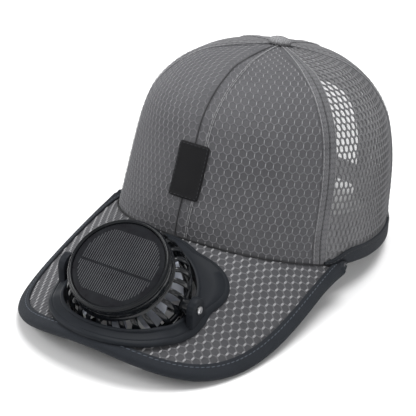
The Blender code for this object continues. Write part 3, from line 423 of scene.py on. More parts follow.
def addStitches(bag, path, out, look, slot=0):
    # A row of thread stitches along a path of points with the way out of the cloth.
    total = arcLength(path)
    pitch = look["length"] + look["space"]
    count = max(int(total[-1] / pitch), 1)
    starts = np.stack([(np.arange(count) + 0.5) * total[-1] / count, np.zeros(count)], axis=-1)
    starts[:, 1] += randomDraws.normal(0.0, strayThread, count)
    tangent = unit(np.gradient(path, axis=0))
    side = np.cross(out, tangent)

    def place(flat, rise):
        at = np.clip(flat[..., 0], 0.0, total[-1])
        middle, aside, upward = (
            np.stack([np.interp(at, total, v[:, k]) for k in range(3)], axis=-1) for v in (path, side, out))
        return middle + aside * flat[..., 1:2] + upward * (rise + look["lift"])[..., None]

    slant = math.radians(look["slant"])
    direction = np.tile([math.cos(slant), math.sin(slant)], (count, 1))
    addBeads(bag, place, starts, direction, look["length"], look["width"], look["height"], slot)


weld = {"join": 0.004 * mm, "collapse": 0.002 * mm, "smoothAngle": math.radians(40.0)}


def newObject(name, data):
    made = bpy.data.objects.new(name, data)
    bpy.context.scene.collection.objects.link(made)
    return made


def buildMesh(name, bag, turn):
    # A bag's parts as one mesh in the world, with its flat cloth positions kept as a map.
    points = np.vstack(bag["points"])
    flat = np.vstack(bag["flat"])
    points = points @ turn[:3, :3].T + turn[:3, 3]
    sizes = np.concatenate([np.full(len(f), f.shape[1]) for f in bag["faces"]])
    loops = np.concatenate([f.ravel() for f in bag["faces"]])
    mesh = bpy.data.meshes.new(name)
    mesh.vertices.add(len(points))
    mesh.vertices.foreach_set("co", points.ravel())
    mesh.loops.add(len(loops))
    mesh.loops.foreach_set("vertex_index", loops)
    mesh.polygons.add(len(sizes))
    mesh.polygons.foreach_set("loop_start", np.concatenate([[0], np.cumsum(sizes)[:-1]]))
    mesh.polygons.foreach_set("material_index", np.concatenate(bag["slots"]))
    mesh.update(calc_edges=True)
    mesh.uv_layers.new(name="cloth").uv.foreach_set("vector", flat[loops].ravel())
    mesh.validate()
    return mesh


def weldMesh(mesh):
    tidy = bmesh.new()
    tidy.from_mesh(mesh)
    bmesh.ops.remove_doubles(tidy, verts=tidy.verts, dist=weld["join"])
    bmesh.ops.dissolve_degenerate(tidy, dist=weld["collapse"], edges=tidy.edges)
    bmesh.ops.recalc_face_normals(tidy, faces=tidy.faces)
    tidy.to_mesh(mesh)
    tidy.free()
    mesh.shade_smooth()
    mesh.set_sharp_from_angle(angle=weld["smoothAngle"])


def finishPiece(name, bag, finishes, body, replaced=(), matrix=capMatrix):
    # One object from a bag, in the world, riding on its body.
    name += "_dressed" if replaced else ""
    mesh = buildMesh(name, bag, np.array(matrix))
    weldMesh(mesh)
    for finish in finishes:
        mesh.materials.append(materials[finish])
    piece = newObject(name, mesh)
    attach(piece, body)
    if replaced:
        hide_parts(*replaced)
    print("built", name, len(mesh.polygons), "faces")
    return piece


# Shader effects

def newGroup(name, inputs, outputs):
    group = bpy.data.node_groups.new(name, "ShaderNodeTree")
    for label, kind, value in inputs:
        socket = group.interface.new_socket(label, in_out="INPUT", socket_type="NodeSocket" + kind)
        if value is not None:
            socket.default_value = value
    for label in outputs:
        group.interface.new_socket(label, in_out="OUTPUT", socket_type="NodeSocketFloat")
    return group, group.nodes.new("NodeGroupInput"), group.nodes.new("NodeGroupOutput")


def connect(tree, value, socket):
    if isinstance(value, bpy.types.NodeSocket):
        tree.links.new(value, socket)
    elif value is not None:
        socket.default_value = value


def math2(tree, operation, a, b=None, c=None):
    node = tree.nodes.new("ShaderNodeMath")
    node.operation = operation
    for value, socket in zip((a, b, c), node.inputs):
        connect(tree, value, socket)
    return node.outputs[0]


def remap(tree, value, fromLow, fromHigh, toLow=0.0, toHigh=1.0):
    node = tree.nodes.new("ShaderNodeMapRange")
    for socket, given in zip(node.inputs, (value, fromLow, fromHigh, toLow, toHigh)):
        connect(tree, given, socket)
    return node.outputs[0]


def scaled(tree, vector, scale):
    node = tree.nodes.new("ShaderNodeVectorMath")
    node.operation = "SCALE"
    connect(tree, vector, node.inputs[0])
    connect(tree, scale, node.inputs["Scale"])
    return node.outputs[0]


def noise(tree, vector, scale, detail=3.0, roughness=0.5):
    node = tree.nodes.new("ShaderNodeTexNoise")
    connect(tree, vector, node.inputs["Vector"])
    connect(tree, scale, node.inputs["Scale"])
    node.inputs["Detail"].default_value = detail
    node.inputs["Roughness"].default_value = roughness
    return node.outputs["Fac"]


def makeWeaveGroup():
    # Over and under threads of a plain weave. Position is in millimetres.
    group, given, made = newGroup("threadWeave", [
        ("Position", "Vector", None), ("Pitch", "Float", 0.5), ("Uneven", "Float", 0.3),
    ], ["Height", "ValleyShadeAndTone"])
    position = scaled(group, given.outputs["Position"], math2(group, "DIVIDE", 1.0, given.outputs["Pitch"]))
    parts = group.nodes.new("ShaderNodeSeparateXYZ")
    group.links.new(position, parts.inputs[0])
    warp = math2(group, "SINE", math2(group, "MULTIPLY", parts.outputs[0], math.pi))
    weft = math2(group, "SINE", math2(group, "MULTIPLY", parts.outputs[1], math.pi))
    over = math2(group, "GREATER_THAN", math2(group, "MULTIPLY", warp, weft), 0.0)
    high = math2(group, "ABSOLUTE", warp)
    low = math2(group, "MULTIPLY", math2(group, "ABSOLUTE", weft), 0.85)
    chosen = math2(group, "ADD", math2(group, "MULTIPLY", high, over),
                   math2(group, "MULTIPLY", low, math2(group, "SUBTRACT", 1.0, over)))
    rough = noise(group, position, 1.7, 2.0)
    group.links.new(chosen, made.inputs["Height"])
    uneven = math2(group, "MULTIPLY", math2(group, "SUBTRACT", rough, 0.5), given.outputs["Uneven"])
    # lower threads come out darker, which is painted shade in the weave's valleys, plus a random unevenness
    # of tone
    group.links.new(math2(group, "ADD", math2(group, "MULTIPLY", chosen, 0.6), uneven), made.inputs["ValleyShadeAndTone"])
    return group


def makeGrainGroup():
    # Fine moulded or spun grain, with slow patches. Position is in metres.
    group, given, made = newGroup("fineGrain", [
        ("Position", "Vector", None), ("Size", "Float", 0.4), ("Patch", "Float", 12.0),
    ], ["Height", "Patches"])
    where = given.outputs["Position"]
    fine = scaled(group, where, math2(group, "DIVIDE", 1.0 / mm, given.outputs["Size"]))
    wide = scaled(group, where, math2(group, "DIVIDE", 1.0 / mm, given.outputs["Patch"]))
    group.links.new(noise(group, fine, 1.0, 3.0, 0.6), made.inputs["Height"])
    group.links.new(noise(group, wide, 1.0, 3.0, 0.55), made.inputs["Patches"])
    return group


def makeWearGroup():
    # Dust that settles on faces that look up, and rubbed edges.
    group, given, made = newGroup("dustAndWear", [
        ("Position", "Vector", None), ("Dust", "Float", 0.1), ("Rub", "Float", 0.2)], ["Dusty", "Rubbed"])
    wide = noise(group, scaled(group, given.outputs["Position"], 60.0), 1.0, 4.0, 0.6)
    specks = noise(group, scaled(group, given.outputs["Position"], 1500.0), 1.0, 2.0, 0.5)
    geometry = group.nodes.new("ShaderNodeNewGeometry")
    facing = group.nodes.new("ShaderNodeSeparateXYZ")
    group.links.new(geometry.outputs["Normal"], facing.inputs[0])
    upward = remap(group, facing.outputs[2], 0.1, 1.0)
    patches = remap(group, math2(group, "ADD", math2(group, "MULTIPLY", wide, 0.6),
                                 math2(group, "MULTIPLY", specks, 0.4)), 0.42, 0.68)
    dusty = math2(group, "MULTIPLY", math2(group, "MULTIPLY", patches, upward), given.outputs["Dust"])
    group.links.new(dusty, made.inputs["Dusty"])
    edges = remap(group, geometry.outputs["Pointiness"], 0.52, 0.60)
    group.links.new(math2(group, "MULTIPLY", math2(group, "MULTIPLY", edges, patches),
                          given.outputs["Rub"]), made.inputs["Rubbed"])
    return group


effects = {"weave": makeWeaveGroup(), "grain": makeGrainGroup(), "wear": makeWearGroup()}


def placeEffect(tree, name, **values):
    node = tree.nodes.new("ShaderNodeGroup")
    node.node_tree = effects[name]
    for label, value in values.items():
        connect(tree, value, node.inputs[label])
    return node


def mixColour(tree, share, low, high):
    node = tree.nodes.new("ShaderNodeMix")
    node.data_type = "RGBA"
    connect(tree, share, node.inputs["Factor"])
    for value, label in ((low, "A"), (high, "B")):
        socket = next(s for s in node.inputs if s.name == label and s.type == "RGBA")
        connect(tree, (*value, 1.0) if isinstance(value, tuple) else value, socket)
    return next(s for s in node.outputs if s.type == "RGBA")


def bump(tree, height, strength, distance):
    node = tree.nodes.new("ShaderNodeBump")
    node.inputs["Strength"].default_value = strength
    node.inputs["Distance"].default_value = distance
    connect(tree, height, node.inputs["Height"])
    return node.outputs[0]


def newMaterial(name):
    material = bpy.data.materials.new(name)
    material.use_nodes = True
    tree = material.node_tree
    return material, tree, tree.nodes["Principled BSDF"]


def wornColour(tree, wear, colour, worn, dust):
    colour = mixColour(tree, wear.outputs["Rubbed"], colour, worn)
    return mixColour(tree, wear.outputs["Dusty"], colour, dust)


def setInputs(shader, values):
    for label, value in values.items():
        shader.inputs[label].default_value = value


def clothMaterial(name, look):
    # Woven or knitted cloth: thread relief, painted shade in the dips between threads with uneven tone
    # along them, mottle, fuzz and a little dust.
    material, tree, shader = newMaterial(name)
    flat = tree.nodes.new("ShaderNodeUVMap").outputs[0]
    where = tree.nodes.new("ShaderNodeTexCoord").outputs["Object"]
    weave = placeEffect(tree, "weave", Position=flat, Pitch=look["pitch"], Uneven=look["uneven"])
    grain = placeEffect(tree, "grain", Position=where, Size=look["fuzz"], Patch=look["mottle"])
    wear = placeEffect(tree, "wear", Position=where, Dust=look["dust"], Rub=look["rub"])
    # colour from the weave's painted valley shade and uneven tone, together with random mottled patches
    shadeAndMottle = math2(tree, "ADD", math2(tree, "MULTIPLY", weave.outputs["ValleyShadeAndTone"], 0.75),
                 math2(tree, "MULTIPLY", grain.outputs["Patches"], 0.5))
    colour = mixColour(tree, remap(tree, shadeAndMottle, 0.1, 0.85), look["dark"], look["colour"])
    colour = wornColour(tree, wear, colour, look["worn"], (0.45, 0.44, 0.42))
    tree.links.new(colour, shader.inputs["Base Color"])
    valley, crest = look["roughness"] + 0.08, look["roughness"] - 0.05
    rough = remap(tree, weave.outputs["Height"], 0.0, 1.0, valley, crest)
    tree.links.new(rough, shader.inputs["Roughness"])
    setInputs(shader, {"Sheen Weight": look["sheen"], "Sheen Roughness": 0.45,
                       "Specular IOR Level": look["specular"]})
    relief = math2(tree, "ADD", math2(tree, "MULTIPLY", weave.outputs["Height"], 0.8),
                   math2(tree, "MULTIPLY", grain.outputs["Height"], 0.35))
    tree.links.new(bump(tree, relief, look["relief"], 0.12 * mm), shader.inputs["Normal"])
    return material


def hardMaterial(name, look):
    # Moulded plastic, metal or glass: fine grain, uneven gloss, rubbed edges and dust.
    material, tree, shader = newMaterial(name)
    where = tree.nodes.new("ShaderNodeTexCoord").outputs["Object"]
    grain = placeEffect(tree, "grain", Position=where, Size=look["grain"], Patch=look["patch"])
    wear = placeEffect(tree, "wear", Position=where, Dust=look["dust"], Rub=look["rub"])
    patches = remap(tree, grain.outputs["Patches"], 0.35, 0.65)
    colour = mixColour(tree, patches, look["dark"], look["colour"])
    colour = wornColour(tree, wear, colour, look["worn"], (0.35, 0.34, 0.33))
    tree.links.new(colour, shader.inputs["Base Color"])
    shiny, dull = look["roughness"] - 0.04, look["roughness"] + 0.06
    gloss = remap(tree, grain.outputs["Patches"], 0.3, 0.7, shiny, dull)
    gloss = math2(tree, "ADD", gloss, math2(tree, "MULTIPLY", wear.outputs["Rubbed"], 0.25))
    tree.links.new(math2(tree, "ADD", gloss, wear.outputs["Dusty"]), shader.inputs["Roughness"])
    setInputs(shader, {"Metallic": look["metallic"], "Coat Weight": look["coat"],
                       "Coat Roughness": look["coatRoughness"], "Specular IOR Level": look["specular"]})
    tree.links.new(bump(tree, grain.outputs["Height"], look["relief"], 0.06 * mm), shader.inputs["Normal"])
    return material


def makePoreGroup():
    # Where a fine ground mesh has threads. Position is in millimetres.
    group, given, made = newGroup("finePores", [
        ("Position", "Vector", None), ("Pitch", "Float", 0.45), ("Cover", "Float", 0.3)], ["Thread"])
    position = scaled(group, given.outputs["Position"], math2(group, "DIVIDE", 1.0, given.outputs["Pitch"]))
    parts = group.nodes.new("ShaderNodeSeparateXYZ")
    group.links.new(position, parts.inputs[0])
    x = math2(group, "FRACT", parts.outputs[0])
    y = math2(group, "FRACT", parts.outputs[1])
    # the share of each pitch that a thread fills, so that both ways together give the cover
    holes = math2(group, "SUBTRACT", 1.0, given.outputs["Cover"])
    share = math2(group, "SUBTRACT", 1.0, math2(group, "SQRT", holes))
    warp, weft = (math2(group, "LESS_THAN", v, share) for v in (x, y))
    group.links.new(math2(group, "MAXIMUM", warp, weft), made.inputs["Thread"])
    return group


effects["pores"] = makePoreGroup()


def groundMaterial(name, look):
    # The fine mesh that spans the net's holes.
    material, tree, shader = newMaterial(name)
    flat = tree.nodes.new("ShaderNodeUVMap").outputs[0]
    where = tree.nodes.new("ShaderNodeTexCoord").outputs["Object"]
    pores = placeEffect(tree, "pores", Position=flat, Pitch=look["pitch"], Cover=look["cover"])
    grain = placeEffect(tree, "grain", Position=where, Size=0.3, Patch=12.0)
    darker = tuple(0.7 * v for v in look["colour"])
    colour = mixColour(tree, grain.outputs["Patches"], darker, look["colour"])
    tree.links.new(colour, shader.inputs["Base Color"])
    tree.links.new(pores.outputs["Thread"], shader.inputs["Alpha"])
    tree.links.new(bump(tree, grain.outputs["Height"], 0.5, 0.1 * mm), shader.inputs["Normal"])
    setInputs(shader, {"Roughness": 0.85, "Specular IOR Level": 0.1})
    return material


# What the cloths share, and then what the plastics share; sizes here are in millimetres
clothBase = {
    "colour": (0.19, 0.19, 0.20), "dark": (0.075, 0.075, 0.082), "worn": (0.26, 0.26, 0.27),
    "pitch": 0.42, "uneven": 0.35, "fuzz": 0.25, "mottle": 14.0, "dust": 0.02, "rub": 0.15,
    "roughness": 0.85, "sheen": 0.03, "specular": 0.12, "relief": 0.8,
}
hardBase = {
    "colour": (0.020, 0.021, 0.023), "dark": (0.014, 0.015, 0.017), "worn": (0.06, 0.06, 0.065),
    "grain": 0.5, "patch": 14.0, "dust": 0.012, "rub": 0.2, "roughness": 0.42, "metallic": 0.0,
    "coat": 0.0, "coatRoughness": 0.1, "specular": 0.3, "relief": 0.25,
}
# Cloths and threads: the material's name and what differs from the plain cloth
clothLooks = {
    "lining": ("front_lining", {"colour": (0.116, 0.116, 0.123), "dark": (0.060, 0.060, 0.065),
        "mottle": 22.0}),
    "strand": ("front_strands", {"colour": (0.172, 0.172, 0.182), "dark": (0.10, 0.10, 0.107),
        "pitch": 0.3}),
    "dash": ("bright_knit", {"colour": (0.36, 0.36, 0.37), "dark": (0.22, 0.22, 0.23), "pitch": 0.25,
        "sheen": 0.1}),
    "net": ("net_strands", {"colour": (0.185, 0.185, 0.192), "dark": (0.095, 0.095, 0.100),
        "pitch": 0.3}),
    "seam": ("seam_band", {"colour": (0.165, 0.165, 0.173), "dark": (0.050, 0.050, 0.054), "pitch": 0.9,
        "uneven": 0.9}),
    "button": ("button_cloth", {"colour": (0.33, 0.33, 0.34), "dark": (0.035, 0.035, 0.038),
        "pitch": 1.5, "uneven": 1.2}),
    # near-black finish laid in the seam grooves, under the top button and along the crease: painted shade
    # where light does not reach
    "groove": ("groove_painted_shade", {"colour": (0.030, 0.030, 0.032), "dark": (0.015, 0.015, 0.016)}),
    "visorCloth": ("visor_cloth", {"colour": (0.082, 0.083, 0.089), "dark": (0.045, 0.045, 0.049)}),
    "visorStrand": ("visor_strands", {"colour": (0.15, 0.15, 0.158), "dark": (0.09, 0.09, 0.096),
        "pitch": 0.3}),
    "tape": ("binding_tape", {"colour": (0.022, 0.025, 0.031), "dark": (0.011, 0.013, 0.016),
        "worn": (0.05, 0.05, 0.055), "pitch": 0.55, "dust": 0.01}),
    "thread": ("light_thread", {"colour": (0.34, 0.34, 0.35), "dark": (0.22, 0.22, 0.23),
        "pitch": 0.2}),
    "tapeThread": ("tape_thread", {"colour": (0.095, 0.11, 0.135), "dark": (0.05, 0.06, 0.075),
        "pitch": 0.2}),
    "darkThread": ("dark_thread", {"colour": (0.045, 0.047, 0.052), "dark": (0.02, 0.02, 0.023),
        "pitch": 0.2}),
    "band": ("band_cloth", {"colour": (0.24, 0.24, 0.25), "dark": (0.13, 0.13, 0.135), "pitch": 0.6}),
    "patch": ("patch_weave", {"colour": (0.014, 0.014, 0.015), "dark": (0.006, 0.006, 0.007),
        "worn": (0.03, 0.03, 0.032), "pitch": 0.7, "dust": 0.008}),
}
# Fine meshes behind the net: colour, share covered and pitch in millimetres
groundLooks = {
    "sideGround": ("side_ground_mesh", {"colour": (0.34, 0.34, 0.35), "cover": 0.62, "pitch": 0.45}),
    "backGround": ("back_ground_mesh", {"colour": (0.46, 0.46, 0.47), "cover": 0.86, "pitch": 0.45}),
}
# Plastics and metals: the material's name and what differs from the plain plastic
hardLooks = {
    "plate": ("plate_plastic", {"colour": (0.015, 0.017, 0.021), "dark": (0.012, 0.014, 0.017),
        "dust": 0.004, "roughness": 0.45, "specular": 0.07, "relief": 0.35}),
    "housing": ("housing_plastic", {"colour": (0.007, 0.008, 0.010), "dark": (0.005, 0.006, 0.007),
        "roughness": 0.14, "coat": 0.15, "coatRoughness": 0.06, "relief": 0.05}),
    "bezel": ("bezel_plastic", {"colour": (0.007, 0.008, 0.010), "dark": (0.005, 0.006, 0.007),
        "dust": 0.005, "roughness": 0.2, "specular": 0.18, "relief": 0.08}),
    "cell": ("solar_cell", {"colour": (0.009, 0.010, 0.012), "dark": (0.007, 0.007, 0.009),
        "roughness": 0.3, "specular": 0.08, "relief": 0.04, "patch": 6.0}),
    "gridLine": ("solar_lines", {"colour": (0.085, 0.087, 0.094), "dark": (0.06, 0.062, 0.068),
        "roughness": 0.4, "grain": 0.3}),
    # pale bluish blades: partly the rotor's own light plastic, partly a painted highlight between the ribs,
    # raised and blued in the colour
    "blade": ("blade_plastic", {"colour": (0.54, 0.57, 0.65), "dark": (0.40, 0.43, 0.50),
        "worn": (0.5, 0.5, 0.5), "roughness": 0.1, "specular": 0.6, "coat": 0.4}),
    "steel": ("screw_steel", {"colour": (0.62, 0.62, 0.63), "dark": (0.45, 0.45, 0.46),
        "worn": (0.75, 0.75, 0.75), "roughness": 0.28, "metallic": 1.0, "grain": 0.3}),
    "can": ("motor_can", {"colour": (0.5, 0.5, 0.52), "dark": (0.38, 0.38, 0.4),
        "worn": (0.65, 0.65, 0.66), "roughness": 0.33, "metallic": 1.0}),
}
materials = {key: clothMaterial(name, {**clothBase, **look}) for key, (name, look) in clothLooks.items()}
for key, (name, look) in groundLooks.items():
    materials[key] = groundMaterial(name, look)
for key, (name, look) in hardLooks.items():
    materials[key] = hardMaterial(name, {**hardBase, **look})
print("materials ready")


# Cloth of linked hexagons, laid out flat and then placed on a surface

hexCloth = {"width": 4.6 * mm, "pitch": 4.3 * mm}
straight = np.eye(2)


def hexCentres(low, high, skew=straight):
    # Middles of the cells that cover a flat box, with every other row set over by half.
    w, p = hexCloth["width"], hexCloth["pitch"]
    reach = math.hypot(high[0] - low[0], high[1] - low[1]) / 2.0 + 2.0 * w
    rows = np.arange(-int(reach / p), int(reach / p) + 1)
    columns = np.arange(-int(reach / w), int(reach / w) + 1)
    j, i = np.meshgrid(rows, columns, indexing="ij")
    x, y = (i + 0.5 * (j % 2)) * w, j * p
    middle = np.array([(low[0] + high[0]) / 2.0, (low[1] + high[1]) / 2.0])
    points = np.stack([x, y], axis=-1).reshape(-1, 2) @ skew.T + middle
    inside = np.all((points > np.array(low) - w) & (points < np.array(high) + w), axis=1)
    return points[inside]


def hexRings(strand, roundness, shares, skew):
    # Rings of a cell from its border in to its hole, as offsets from the cell's middle.
    w, p = hexCloth["width"], hexCloth["pitch"]
    corners = np.array([(0.5 * w, -p / 3.0), (0.5 * w, p / 3.0), (0.0, 2.0 * p / 3.0),
                        (-0.5 * w, p / 3.0), (-0.5 * w, -p / 3.0), (0.0, -2.0 * p / 3.0)])
    border = np.stack([corners, (corners + np.roll(corners, -1, axis=0)) / 2.0], axis=1).reshape(-1, 2)
    hole = np.array([0.5 * w - strand / 2.0, 0.60 * p - strand / 2.0])
    rounded = unit(border / hole) * hole
    shrunk = border * (1.0 - strand / w)
    target = roundness * rounded + (1.0 - roundness) * shrunk
    return np.stack([border * (1.0 - t) + target * t for t in shares]) @ skew.T


def addHexCloth(bag, centres, place, look, heights, slot, skew=straight):
    # Cells as rings of faces; heights are the rings' places out of the cloth's face.
    shares = look["shares"]
    rings = hexRings(look["strand"], look["roundness"], shares, skew)
    flat = centres[:, None, None, :] + rings[None]
    lift = np.broadcast_to(np.asarray(heights)[None, :, None], flat.shape[:-1])
    points = place(flat, lift)
    sides = rings.shape[1]
    faces = gridFaces(len(shares), sides, closedAcross=True)
    size = len(shares) * sides
    every = (faces[None] + np.arange(len(centres))[:, None, None] * size).reshape(-1, 4)
    corner = points.reshape(-1, 3)[every]
    area = np.linalg.norm(np.cross(corner[:, 2] - corner[:, 0], corner[:, 3] - corner[:, 1]), axis=1)
    addPart(bag, points, every[area > 1e-3 * mm * mm], slot, flat / mm)


def gore(first, last, side):
    # A panel's flat layout: up the middle from its lower edge, and round from the middle.
    centre = (first + last) / 2.0
    rows = np.linspace(0.0, topRow, 400)
    along = arcLength(crownPlain(np.full(400, centre), rows))
    step = 0.01
    across = crownPlain(np.full(400, centre + step), rows) - crownPlain(np.full(400, centre - step), rows)
    return {"first": first, "last": last, "side": side, "centre": centre, "rows": rows, "along": along,
            "radius": np.linalg.norm(across, axis=1) / (2.0 * step)}


def onGore(layout, flat, lift, cutOpening=False, space=(0.0, 0.0)):
    # Flat positions put on the crown; space is left clear beside the first and last seams.
    y = np.clip(flat[..., 1], 0.0, layout["along"][-1])
    row = np.interp(y, layout["along"], layout["rows"])
    radius = np.interp(y, layout["along"], layout["radius"])
    angle = layout["centre"] + layout["side"] * flat[..., 0] / radius
    narrow = np.clip(radius * (layout["last"] - layout["first"]) / (16.0 * mm), 0.0, 1.0)
    low = layout["first"] + space[0] * narrow / radius
    high = layout["last"] - space[1] * narrow / radius
    angle = np.clip(angle, low, high)
    if cutOpening:
        angle, row = outsideOpening(angle, row)
    return crownPoint(layout["side"] * angle, row, lift)


def openingShare(angle, height):
    across = np.abs(math.pi - np.abs(angle)) / opening["turn"]
    up = np.maximum(height, 0.0) / opening["height"]
    return (across ** opening["exponent"] + up ** opening["exponent"]) ** (1.0 / opening["exponent"])


def heightAtRow(angle, row):
    return (crown["height"] - crownEdgeHeight(angle)) * sectionShares(row)[..., 0]


def outsideOpening(angle, row):
    # Moves what would lie in the rear opening out to its edge.
    height = heightAtRow(angle, row)
    share = np.maximum(openingShare(angle, height), 0.5)
    grow = np.where(share < 1.0, 1.0 / share, 1.0)
    return math.pi - (math.pi - angle) * grow, np.where(share < 1.0, rowAtHeight(angle, height * grow), row)


netLook = {
    "strand": 1.25 * mm, "thick": 0.55 * mm, "shoulder": 0.8, "shares": (0.0, 0.55, 1.0), "roundness": 0.7,
    "groundBehind": 0.3 * mm, "groundAcross": 49, "groundAlong": 121,
}
frontLook = {
    "strand": 0.62 * mm, "shares": (0.0, 0.6, 1.0), "roundness": 0.3, "raised": 0.30 * mm,
    "sunk": 0.30 * mm, "bevel": 0.06 * mm, "tuck": 0.02 * mm, "dashLength": 2.3 * mm,
    "dashWidth": 0.5 * mm, "dashHeight": 0.16 * mm, "dashSunk": 0.08 * mm,
    "grooveSpace": 0.8 * mm, "seamSpace": 5.0 * mm,
}


def goreCells(layout, cutOpening=False):
    # Middles of the cells that lie on a panel.
    half = (layout["last"] - layout["first"]) / 2.0 * layout["radius"].max()
    centres = hexCentres((-half, 0.0), (half, layout["along"][-1]))
    y = np.clip(centres[:, 1], 0.0, layout["along"][-1])
    radius = np.interp(y, layout["along"], layout["radius"])
    limit = (layout["last"] - layout["first"]) / 2.0 * radius
    keep = np.abs(centres[:, 0]) < limit + 0.6 * hexCloth["width"]
    if cutOpening:
        row = np.interp(y, layout["along"], layout["rows"])
        angle = layout["centre"] + layout["side"] * centres[:, 0] / radius
        keep &= openingShare(angle, heightAtRow(angle, row)) > 0.98
    return centres[keep]


def makeNetPanel(name, first, last, side, cutOpening=False):
    layout = gore(math.radians(first), math.radians(last), side)
    centres = goreCells(layout, cutOpening)
    bag = newBag()
    middle = -crown["netWall"] / 2.0
    lifts = [netLook["thick"], netLook["thick"] * netLook["shoulder"], 0.0]

    def place(flat, lift):
        return onGore(layout, flat, lift + middle, cutOpening)

    addHexCloth(bag, centres, place, netLook, lifts, 0)
    addHexCloth(bag, centres, place, netLook, [-v for v in lifts], 0)
    addGround(bag, layout, middle - netLook["groundBehind"], 1, cutOpening)
    ground = "backGround" if cutOpening else "sideGround"
    finishPiece(name, bag, ["net", ground], "cap", [name])


def addGround(bag, layout, outward, slot, cutOpening):
    # The fine mesh behind the net, as one sheet over the panel.
    columns, lines = netLook["groundAcross"], netLook["groundAlong"]
    shares = np.linspace(-0.5, 0.5, columns)
    along = np.linspace(0.0, layout["along"][-1], lines)
    wide = np.interp(along, layout["along"], layout["radius"]) * (layout["last"] - layout["first"])
    flat = pairs(shares[None] * wide[:, None], along[:, None])
    points = onGore(layout, flat, np.full(flat.shape[:-1], outward), cutOpening)
    faces = gridFaces(lines, columns)
    if cutOpening:
        row = np.interp(along, layout["along"], layout["rows"])[:, None]
        angle = layout["centre"] + layout["side"] * shares[None] * (layout["last"] - layout["first"])
        angle = np.broadcast_to(angle, flat.shape[:-1])
        row = np.broadcast_to(row, angle.shape)
        inside = (openingShare(angle, heightAtRow(angle, row)) < 0.999).ravel()
        faces = faces[~inside[faces].all(axis=1)]
    addPart(bag, points, faces, slot, flat / mm)


def makeFrontPanel(name, last, side):
    # Net cloth over a plain lining, with the hexagons' upright sides a little brighter.
    layout = gore(0.0, math.radians(last), side)
    bag = newBag()
    angles = np.linspace(layout["first"], layout["last"], 40) * side
    rows = np.linspace(0.0, topRow, 70)
    angleGrid, rowGrid = np.meshgrid(angles, rows)
    radius = np.interp(rowGrid, layout["rows"], layout["radius"])
    along = np.interp(rowGrid, layout["rows"], layout["along"])
    flat = np.stack([(angleGrid * side - layout["centre"]) * radius * side, along], axis=-1) / mm
    outer = crownPoint(angleGrid, rowGrid, -frontLook["sunk"])
    inner = crownPoint(angleGrid, rowGrid, -crown["frontWall"] + 0.1 * mm)
    addWall(bag, outer, inner, flat=flat)
    centres = goreCells(layout)

    def place(flatPoints, lift):
        return onGore(layout, flatPoints, lift, space=(frontLook["grooveSpace"], frontLook["seamSpace"]))

    high = frontLook["raised"] - frontLook["sunk"]
    low = -frontLook["sunk"] - frontLook["tuck"]
    addHexCloth(bag, centres, place, frontLook, [high, high - frontLook["bevel"], low], 1)
    starts = centres + np.array([hexCloth["width"] / 2.0, 0.0])
    radius = np.interp(starts[:, 1], layout["along"], layout["radius"])
    limit = (layout["last"] - layout["first"]) / 2.0 * radius
    starts = starts[np.abs(starts[:, 0]) < limit - frontLook["seamSpace"]]
    up = np.tile([0.0, 1.0], (len(starts), 1))
    foot = high - frontLook["dashSunk"]
    addBeads(bag, lambda f, r: place(f, r + foot), starts, up, frontLook["dashLength"],
             frontLook["dashWidth"], frontLook["dashHeight"], 2)
    finishPiece(name, bag, ["lining", "strand", "thread"], "cap", [name])


# Seams of the crown: bands over the panels' meeting lines, with a groove and rows of stitches

stitchLook = {
    "length": 2.3 * mm, "space": 0.9 * mm, "width": 0.5 * mm, "height": 0.28 * mm, "lift": 0.05 * mm,
    "slant": 4.0,
}
seamStitch = {**stitchLook, "length": 3.5 * mm, "space": 0.12 * mm, "width": 0.44 * mm, "height": 0.34 * mm,
              "slant": 0.6, "over": 0.06}
seamTaper = {"past": 0.35, "over": 1.6, "least": 0.25}  # in rows of the crown, and the width's least share
seamTable = [
    # name, angle, half width of the band, its lift and the stitch offsets, in degrees and millimetres
    ("seam_front", 0.0, 0.0, 0.0, (6.1, 7.1)),
    ("seam_side", 60.5, 5.4, 0.12, (-4.6, 4.6)),
    ("seam_rear", 120.0, 4.0, 0.15, (-3.2, 3.2)),
    ("seam_back", 180.0, 4.0, 0.15, (-3.2, 3.2)),
]


def crownStrip(angle, rows, asides, lifts, taper):
    # Points along a meridian: for each row a line across, given by asides and lifts.
    step = 0.01
    ahead, behind = (crownPlain(np.full(len(rows), a), rows) for a in (angle + step, angle - step))
    radius = np.linalg.norm(ahead - behind, axis=1) / (2.0 * step)
    turn = angle + np.asarray(asides)[None] * taper[:, None] / radius[:, None]
    rowGrid = np.broadcast_to(rows[:, None], turn.shape)
    return crownPoint(turn, rowGrid, np.broadcast_to(np.asarray(lifts)[None], turn.shape))


def seamRows(angle, low=0.0, steps=90):
    start = rowAtHeight(angle, low)
    return np.linspace(float(start), topRow, steps)


# Across a band, as shares of its half width and as heights; a plain groove has its own line
bandSection = {
    "asides": np.array([-1.0, -0.97, -0.92, -0.12, -0.05, 0.05, 0.12, 0.92, 0.97, 1.0]),
    "edges": 0.5 * mm, "rims": 0.05 * mm, "fold": 0.1 * mm, "groove": 0.3 * mm, "under": 0.9,
    "underGap": 0.1 * mm, "underThick": 0.5 * mm,
}
grooveSection = {
    "asides": np.array([-1.0, -0.75, -0.35, 0.35, 0.75, 1.0]) * mm,
    "lifts": np.array([-0.28, 0.03, -0.2, -0.2, 0.03, -0.28]) * mm,
}


def bandLifts(lift):
    edge, rim, deep = -bandSection["edges"], -bandSection["rims"], -bandSection["groove"]
    fold = lift + bandSection["fold"]
    return np.array([edge, rim, lift, fold, deep, deep, fold, lift, rim, edge])


